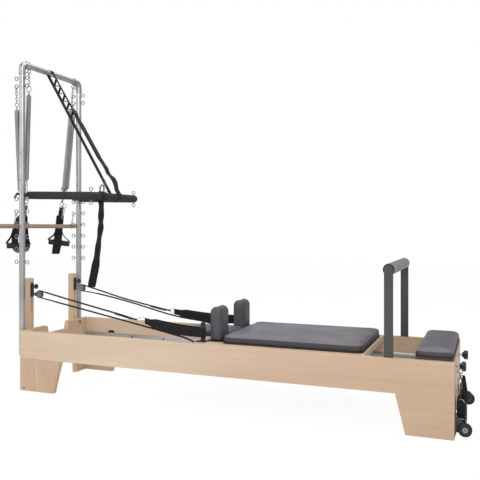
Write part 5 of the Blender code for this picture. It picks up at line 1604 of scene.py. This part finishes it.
def make_foot_loops():
    """A long loop of webbing with a padded sleeve, from the post to a wire ring."""
    reach = 0.013 + 0.0015 + 0.0004
    for side, sign in sides():
        post = Vector((POST_X, sign * POST_Y, LOOP_Z))
        ring = Vector((LOOP_RING_X[side], sign * ROPE_END_Y, LOOP_RING_Z))
        back = arc(post, X_AXIS, Y_AXIS, reach, -90, 90, 14)

        def run(way, steps):
            points = []
            for k in steps:
                share = k / 12
                swell = 0.010 * math.sin(math.pi * share) + 0.004
                spread = way * (reach * (1 - share) + swell * (1 if share < 0.95 else 0.4))
                sag = -0.010 * math.sin(math.pi * share)
                points.append(post + (ring - post) * share + Vector((0, spread, sag)))
            return points

        turn = [
            ring + Vector((0.004, 0.0035, 0)), ring + Vector((-0.0015, 0, 0)),
            ring + Vector((0.004, -0.0035, 0)),
        ]
        loop = [*back, *run(1, range(1, 12)), *turn, *run(-1, range(11, 0, -1))]
        widths = []
        for p in loop:
            share = min(1.0, max(0.0, (p[0] - ring.x) / (post.x - ring.x)))
            widths.append(0.034 if share < 0.13 else 0.051 - 0.004 * abs(share - 0.5))
        meshes = [painted(ribbon(loop, Z_AXIS, widths, 0.0028, closed=True), WEBBING)]
        for way in (1, -1):
            lined = [p + Vector((0, way * 0.0032, 0)) for p in run(way, range(2, 11))]
            smooth = curve_through(lined, 3)
            meshes.append(painted(ribbon(smooth, Z_AXIS, 0.050, 0.0046), WEBBING))
            outside = [p + Vector((0, way * 0.0006, 0)) for p in smooth]
            meshes.append(stitches(outside, Z_AXIS, 0.050, 0.0048))
        eye = Vector((ROPE_END_X[side] + 0.004, ring.y, ROPE_END_Z))
        corners = [
            ring + Vector((0, 0, 0.0245)), ring - Vector((0, 0, 0.0245)), eye + Vector((0, 0, -0.003)),
            eye + Vector((0, 0, 0.003)),
        ]
        triangle = []
        for a, b in zip(corners, corners[1:] + corners[:1]):
            triangle += [a.lerp(b, 0.12), a.lerp(b, 0.5), a.lerp(b, 0.88)]
        meshes.append(painted(wire(triangle, 0.0018, 8, closed=True), STEEL))
        ferrule = [(-0.002, 0.0045), (0, 0.0056), (0.010, 0.0056), (0.012, 0.0040)]
        meshes.append(painted(turned((eye.x - 0.0034, ring.y, eye.z), X_AXIS, ferrule, 16), BLACK_PLASTIC))
        obj = piece(f"foot_loop_{side}_padded", meshes, "carriage", [f"foot_loop_{side}"])
        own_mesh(obj)


def make_loop_posts():
    low = CARRIAGE_TOP + GAP
    height = POST_TOP - low
    profile = [
        (0, 0.021), (0.001, 0.022), (0.0035, 0.022), (0.0042, 0.021), (0.0042, 0.013),
        (height - 0.003, 0.013),
    ]
    profile += [(height - 0.0008, 0.0122), (height, 0.0100)]
    for side, sign in sides():
        foot = (POST_X, sign * POST_Y, low)
        meshes = [painted(turned(foot, Z_AXIS, profile, 32), BLACK_STEEL)]
        shape = rounded_outline(0.029, 0.021, 0.006, 5)
        base = plate(shape, X_AXIS, Y_AXIS, (POST_X - 0.010, sign * POST_Y, low), 0.0038, 0.0008)
        meshes.append(painted(base, BLACK_STEEL))
        for turn in range(3):
            t = math.radians(60 + 120 * turn)
            spot = (POST_X + 0.0176 * math.cos(t), sign * POST_Y + 0.0176 * math.sin(t), low + 0.0040)
            meshes.append(
                painted(turned(spot, Z_AXIS, [(0, 0.0026), (0.0008, 0.0026), (0.0014, 0.0014)], 12), BRIGHT)
            )
        cap = [(-0.001, 0.009), (0.0006, 0.008), (0.001, 0.004)]
        meshes.append(painted(turned((POST_X, sign * POST_Y, low + height), Z_AXIS, cap, 24), BLACK_PLASTIC))
        piece(f"loop_post_{side}_turned", meshes, "carriage", [f"loop_post_{side}"])


# Pulley sliders on the risers
RISER_FACE_X = -1.2503
RISER_DEPTH = 0.043
SLIDE_Z = (0.556, 0.640)
KNOB_HEIGHT = 0.620


def lobed(centre, axis, profile, lobes=6, depth=0.10, count=48):
    """A turned knob whose rim is scalloped for the fingers."""
    axis, u, v = frame_about(axis)
    rings = []
    for d, r, share in profile:
        ring = []
        for i in range(count):
            t = 2 * math.pi * i / count
            wave = r * (1 - depth * share * (0.5 + 0.5 * math.cos(lobes * t)))
            ring.append(Vector(centre) + d * axis + wave * (math.cos(t) * u + math.sin(t) * v))
        rings.append(ring)
    return loft(rings)


def make_sliders():
    front = RISER_FACE_X + GAP
    back = RISER_FACE_X - RISER_DEPTH - GAP
    for side, sign in sides():
        y = sign * PULLEY_Y
        base = plate(
            rounded_outline(0.015, 0.042, 0.004, 5), Y_AXIS, Z_AXIS, (front, y, sum(SLIDE_Z) / 2), 0.004,
            0.0008
        )
        meshes = [painted(base, BLACK_PLASTIC)]
        stem = [(0, 0.004), (front + 0.025 - back, 0.004)]
        meshes.append(painted(turned((back - 0.003, y, KNOB_HEIGHT), X_AXIS, stem, 16), BRIGHT))
        washer = [(0, 0.009), (0.0005, 0.010), (0.003, 0.010)]
        meshes.append(painted(turned((back - 0.003, y, KNOB_HEIGHT), X_AXIS, washer, 24), BRIGHT))
        knob = [
            (0.020, 0.008, 0), (0.027, 0.0095, 0), (0.029, 0.0155, 0.6), (0.031, 0.016, 1), (0.036, 0.016, 1),
            (0.039, 0.013, 0.5), (0.040, 0.009, 0),
        ]
        meshes.append(painted(lobed((front, y, KNOB_HEIGHT), X_AXIS, knob), BLACK_PLASTIC))
        for z in (SLIDE_Z[0] + 0.008, SLIDE_Z[1] - 0.006):
            for shift in (-0.009, 0.009):
                spot = (front + 0.0036, y + shift, z)
                head = turned(spot, X_AXIS, [(0, 0.0028), (0.0012, 0.0026), (0.0018, 0.0014)], 12)
                meshes.append(painted(head, BRIGHT))
        piece(
            f"pulley_slider_{side}_plate", meshes, f"pulley_{side}",
            [f"pulley_slider_{side}"],
        )
        axle = Vector((PULLEY_X, y, PULLEY_Z))
        caps = [(0.0095, 0.0058), (0.0120, 0.0058), (0.0128, 0.0045), (0.0128, 0.001)]
        ends = [painted(turned(axle, way * Y_AXIS, caps, 16), BRIGHT) for way in (-1, 1)]
        piece(f"pulley_axle_caps_{side}", ends, f"pulley_{side}")


# Foot end: knobs, wheels and the spare straps
KNOB_Y = 0.150
KNOB_Z = 0.310
WHEEL = (1.295, 0.290, 0.044)
WHEEL_RADIUS = 0.032
WHEEL_WIDTH = 0.022


def make_foot_knobs():
    for side, sign in sides():
        place = (HALF_LENGTH, sign * KNOB_Y, KNOB_Z)
        meshes = [painted(turned(place, X_AXIS, [(0.0004, 0.004), (0.0165, 0.004)], 20), BRIGHT)]
        meshes.append(
            painted(turned(place, X_AXIS, [(0.0003, 0.0075), (0.0022, 0.0075), (0.0028, 0.006)], 6), BRIGHT)
        )
        hub = [
            (0.0155, 0.009, 0), (0.0162, 0.013, 0), (0.024, 0.015, 0), (0.0250, 0.0215, 0.6),
            (0.027, 0.0240, 1),
        ]
        hub += [(0.042, 0.0240, 1), (0.0452, 0.0216, 0.8), (0.0462, 0.015, 0), (0.0456, 0.006, 0)]
        meshes.append(painted(lobed(place, X_AXIS, hub, 6, 0.12), BLACK_PLASTIC))
        piece(f"foot_knob_{side}_grip", meshes, f"foot_knob_{side}", [f"foot_knob_{side}"])


def make_wheels():
    half = WHEEL_WIDTH / 2
    for side, sign in sides():
        axle = Vector((WHEEL[0], sign * WHEEL[1], WHEEL[2]))
        tyre = [(-half, 0.0165), (-half, WHEEL_RADIUS - 0.005), (-half + 0.0012, WHEEL_RADIUS - 0.0018)]
        tyre += [
            (-half + 0.004, WHEEL_RADIUS), (half - 0.004, WHEEL_RADIUS),
            (half - 0.0012, WHEEL_RADIUS - 0.0018),
        ]
        tyre += [(half, WHEEL_RADIUS - 0.005), (half, 0.0165)]
        meshes = [painted(turned_ring(axle, Y_AXIS, tyre, 48), RUBBER)]
        hub = [(-half + 0.001, 0.0055), (-half + 0.001, 0.017), (half - 0.001, 0.017), (half - 0.001, 0.0055)]
        meshes.append(painted(turned_ring(axle, Y_AXIS, hub, 40), BLACK_PLASTIC))
        disc = [
            (half - 0.0012, 0.0125), (half - 0.0004, 0.0130), (half + 0.0004, 0.0122),
            (half + 0.0004, 0.0060), (half - 0.0006, 0.0056),
        ]
        for way in (-1, 1):
            meshes.append(painted(turned_ring(axle, way * Y_AXIS, disc, 36), HUB_GREY))
        piece(
            f"transport_wheel_{side}_tyre", meshes, f"transport_wheel_{side}",
            [f"transport_wheel_{side}"],
        )
        head = [(0.0048, 0.0055), (0.0062, 0.0052), (0.0075, 0.0030)]
        bolts = []
        for y, z in ((0.274, 0.108), (0.306, 0.032), (0.306, 0.108)):
            bolts.append(painted(turned((HALF_LENGTH, sign * y, z), X_AXIS, head, 16), BLACK_STEEL))
        end = [(half + 0.0005, 0.0046), (half + 0.0018, 0.0044), (half + 0.0024, 0.0020)]
        bolts.append(painted(turned(axle, sign * Y_AXIS, end, 16), BRIGHT))
        piece(f"wheel_bracket_bolts_{side}", bolts, "frame")


def make_spare_straps():
    y = -0.200
    eye = Vector((1.270, y, 0.296))
    pivot = eye - Vector((0, 0, 0.0064))
    meshes = [painted(torus(pivot - 0.0143 * Z_AXIS, X_AXIS, 0.0145, 0.0020, 28), BRIGHT)]
    meshes += snap_hook(
        pivot + Vector((-0.002, 0.004, -0.026)), Vector((1.2700, y + 0.004, 0.166)), 0.017, 0.0020, Y_AXIS,
    )
    meshes += snap_hook(
        pivot + Vector((0.009, -0.006, -0.010)), pivot + Vector((0.014, -0.006, -0.050)), 0.014, 0.0018,
        Y_AXIS,
    )
    body = pad_mesh((-0.060, 0.060), (0.060, 0.172), (0, 0.042), 0.014, 0.010, 0.003, 6)
    body.transform(Matrix(((0, 0, 1, 1.2560), (1, 0, 0, y), (0, 1, 0, 0), (0, 0, 0, 1))))
    meshes.append(painted(body, WEBBING))
    for z in (0.080, 0.115, 0.150):
        around = [
            (1.2568, y - 0.0595, z), (1.2800, y - 0.0610, z - 0.001), (1.2960, y - 0.0560, z - 0.002),
            (1.3000, y, z - 0.003),
            (1.2960, y + 0.0560, z - 0.002), (1.2800, y + 0.0610, z - 0.001), (1.2568, y + 0.0595, z),
        ]
        meshes.append(painted(ribbon(curve_through(around, 4), Z_AXIS, 0.025, 0.0022), WEBBING))
    wedge = []
    for share in (0, 0.15, 0.35, 0.6, 0.85, 1):
        left, right = 1.2785 + 0.0010 * share, 1.2930 + 0.0165 * share
        half, z = 0.010 + 0.018 * share, 0.276 - 0.118 * share
        centre = Vector(((left + right) / 2, y, z))
        outline = rounded_outline((right - left) / 2, half, min(right - left, 2 * half) * 0.35, 4)
        wedge.append([centre + Vector((a, b, 0)) for a, b in outline])
    meshes.append(painted(loft(wedge), WEBBING))
    disc = [(0, 0.0165), (0.0012, 0.0195), (0.0228, 0.0195), (0.024, 0.0165), (0.0245, 0.004)]
    meshes.append(painted(turned((1.304, y - 0.012, 0.184), Y_AXIS, disc, 32), FOAM))
    low = Vector((1.2965, y - 0.052, 0.078))
    slant = Vector((-0.030, -0.012, 0.008))
    meshes.append(painted(oval(low, low + slant, 0.014, 0.014, 0.0019, Z_AXIS + 0.6 * Y_AXIS), STEEL))
    high = Vector((1.2700, y - 0.050, 0.174))
    bow = [
        high, high + Vector((0.012, -0.002, -0.001)), high + Vector((0.021, -0.004, -0.012)),
        high + Vector((0.024, -0.004, -0.026)),
    ]
    meshes.append(painted(wire(curve_through(bow, 5), 0.0019, 8), STEEL))
    piece("spare_strap_set_bundle", meshes, "spare_strap_set", ["spare_strap_set"])


make_safety_strap()
make_hanging_strap()
make_ropes()
make_foot_loops()
make_loop_posts()
make_sliders()
make_foot_knobs()
make_wheels()
make_spare_straps()


# Small fittings of the wooden frame: bolts, the slot in the far rail, screws of the track and leg seams
BOARD_BOLTS_Y = (-0.2083, 0.2336)
BOARD_BOLTS_Z = (0.338, 0.200)
TRACK_SCREWS_X = (-0.845, -0.605, 0.330, 0.720)


def make_frame_fittings():
    meshes = []
    cap = [(-0.001, 0.0088), (0.0008, 0.0088), (0.0020, 0.0066), (0.0024, 0.0022)]
    for y in BOARD_BOLTS_Y:
        for z in BOARD_BOLTS_Z:
            for x, way in ((-HALF_LENGTH + 0.032, X_AXIS), (-HALF_LENGTH, -X_AXIS)):
                meshes.append(painted(turned((x, y, z), way, cap, 20), BLACK_STEEL))
    # The slot is a thin dark plate on the rail: painted shadow of its recess.
    shape = rounded_outline(0.025, 0.013, 0.0125, 8)
    slot = plate(shape, X_AXIS, Z_AXIS, (-1.010, HALF_WIDTH - RAIL_THICK, 0.268), 0.0006, 0.0001)
    meshes.append(painted(slot, HOLE_SHADOW))
    head = [(0, 0.0060), (0.0010, 0.0058), (0.0018, 0.0030)]
    for sign in (-1, 1):
        for x in TRACK_SCREWS_X:
            meshes.append(painted(turned((x, sign * 0.2972, 0.2460), -sign * Y_AXIS, head, 14), BLACK_STEEL))
    end = [(0, 0.0058), (0.0016, 0.0056), (0.0022, 0.003)]
    for sign in (-1, 1):
        face = sign * HALF_WIDTH
        line = box((-1.1436, -1.1424), (face - 0.0004, face + 0.0004), (0.0012, 0.2040), 0.0001)
        meshes.append(painted(line, JOINT_LINE))
        stud = turned((-1.2190, sign * (HALF_WIDTH - 0.001), 0.0165), sign * Y_AXIS, end, 14)
        meshes.append(painted(stud, BLACK_STEEL))
    piece("frame_fittings", meshes, "frame")


make_frame_fittings()


# Light, floor and world
def sheet(name, size, material):
    """A flat square that stands in the studio and isn't part of the object."""
    bm = bmesh.new()
    bmesh.ops.create_grid(bm, x_segments=1, y_segments=1, size=size)
    mesh = as_mesh(bm, name)
    mesh.materials.append(material)
    return new_object(name, mesh)


def make_floor():
    """A white floor that shines a little towards the camera, so that it fades into the world."""
    material, tree, shader, _ = blank("floor_white")
    fill(shader, {"Base Color": linear(238, 238, 238), "Roughness": 0.9})
    bright = tree.nodes.new("ShaderNodeEmission")
    fill(bright, {"Color": (1, 1, 1, 1), "Strength": 1.04})
    path = tree.nodes.new("ShaderNodeLightPath")
    mix = tree.nodes.new("ShaderNodeMixShader")
    share = math_node(tree, "MULTIPLY", path.outputs["Is Camera Ray"], 0.90)
    for start, socket in zip((share, shader.outputs[0], bright.outputs[0]), mix.inputs):
        tree.links.new(start, socket)
    tree.links.new(mix.outputs[0], tree.nodes["Material Output"].inputs["Surface"])
    floor = sheet("floor", 14, material)
    floor.location = (0, 0, -0.0005)


def make_world():
    world = bpy.data.worlds.new("studio")
    bpy.context.scene.world = world
    world.use_nodes = True
    tree = world.node_tree
    back = tree.nodes["Background"]
    path = tree.nodes.new("ShaderNodeLightPath")
    seen = math_node(tree, "MAXIMUM", path.outputs["Is Camera Ray"], path.outputs["Is Transmission Ray"])
    back.inputs["Color"].default_value = (1, 1, 1, 1)
    tree.links.new(levels(tree, seen, 0.0, 1.0, 0.62, 1.0), back.inputs["Strength"])


def make_flags():
    """Two dark sheets behind the object, seen only as reflections in its steel."""
    dark, _, shade, _ = blank("studio_flag")
    fill(shade, {"Base Color": linear(40, 40, 42), "Roughness": 1.0})
    for turn in (-34, 34):
        flag = sheet("flag", 1, dark)
        view = math.radians(90 + CAMERA_TURN + turn)
        flag.location = (6.0 * math.cos(view), 6.0 * math.sin(view), 1.6)
        flag.scale = (1.3, 2.4, 1)
        flag.rotation_euler = (math.pi / 2, 0, view - math.pi / 2)
        flag.visible_camera = False
        flag.visible_diffuse = False
        flag.visible_shadow = False


def make_lamps():
    lamps = (
        ("key", (1.8, -3.6, 3.4), 3.0, 70),
        ("fill", (-3.2, -2.6, 2.4), 3.0, 26),
        ("top", (0.2, 0.6, 4.2), 4.0, 60),
    )
    for name, place, size, watts in lamps:
        light = bpy.data.lights.new(name, "AREA")
        light.size = size
        light.energy = watts
        lamp = new_object(name, light)
        lamp.location = place
        lamp.rotation_euler = (Vector((0, 0, 0.5)) - Vector(place)).to_track_quat("-Z", "Y").to_euler()


make_floor()
make_world()
make_flags()
make_lamps()

bpy.context.scene.view_settings.view_transform = "Standard"
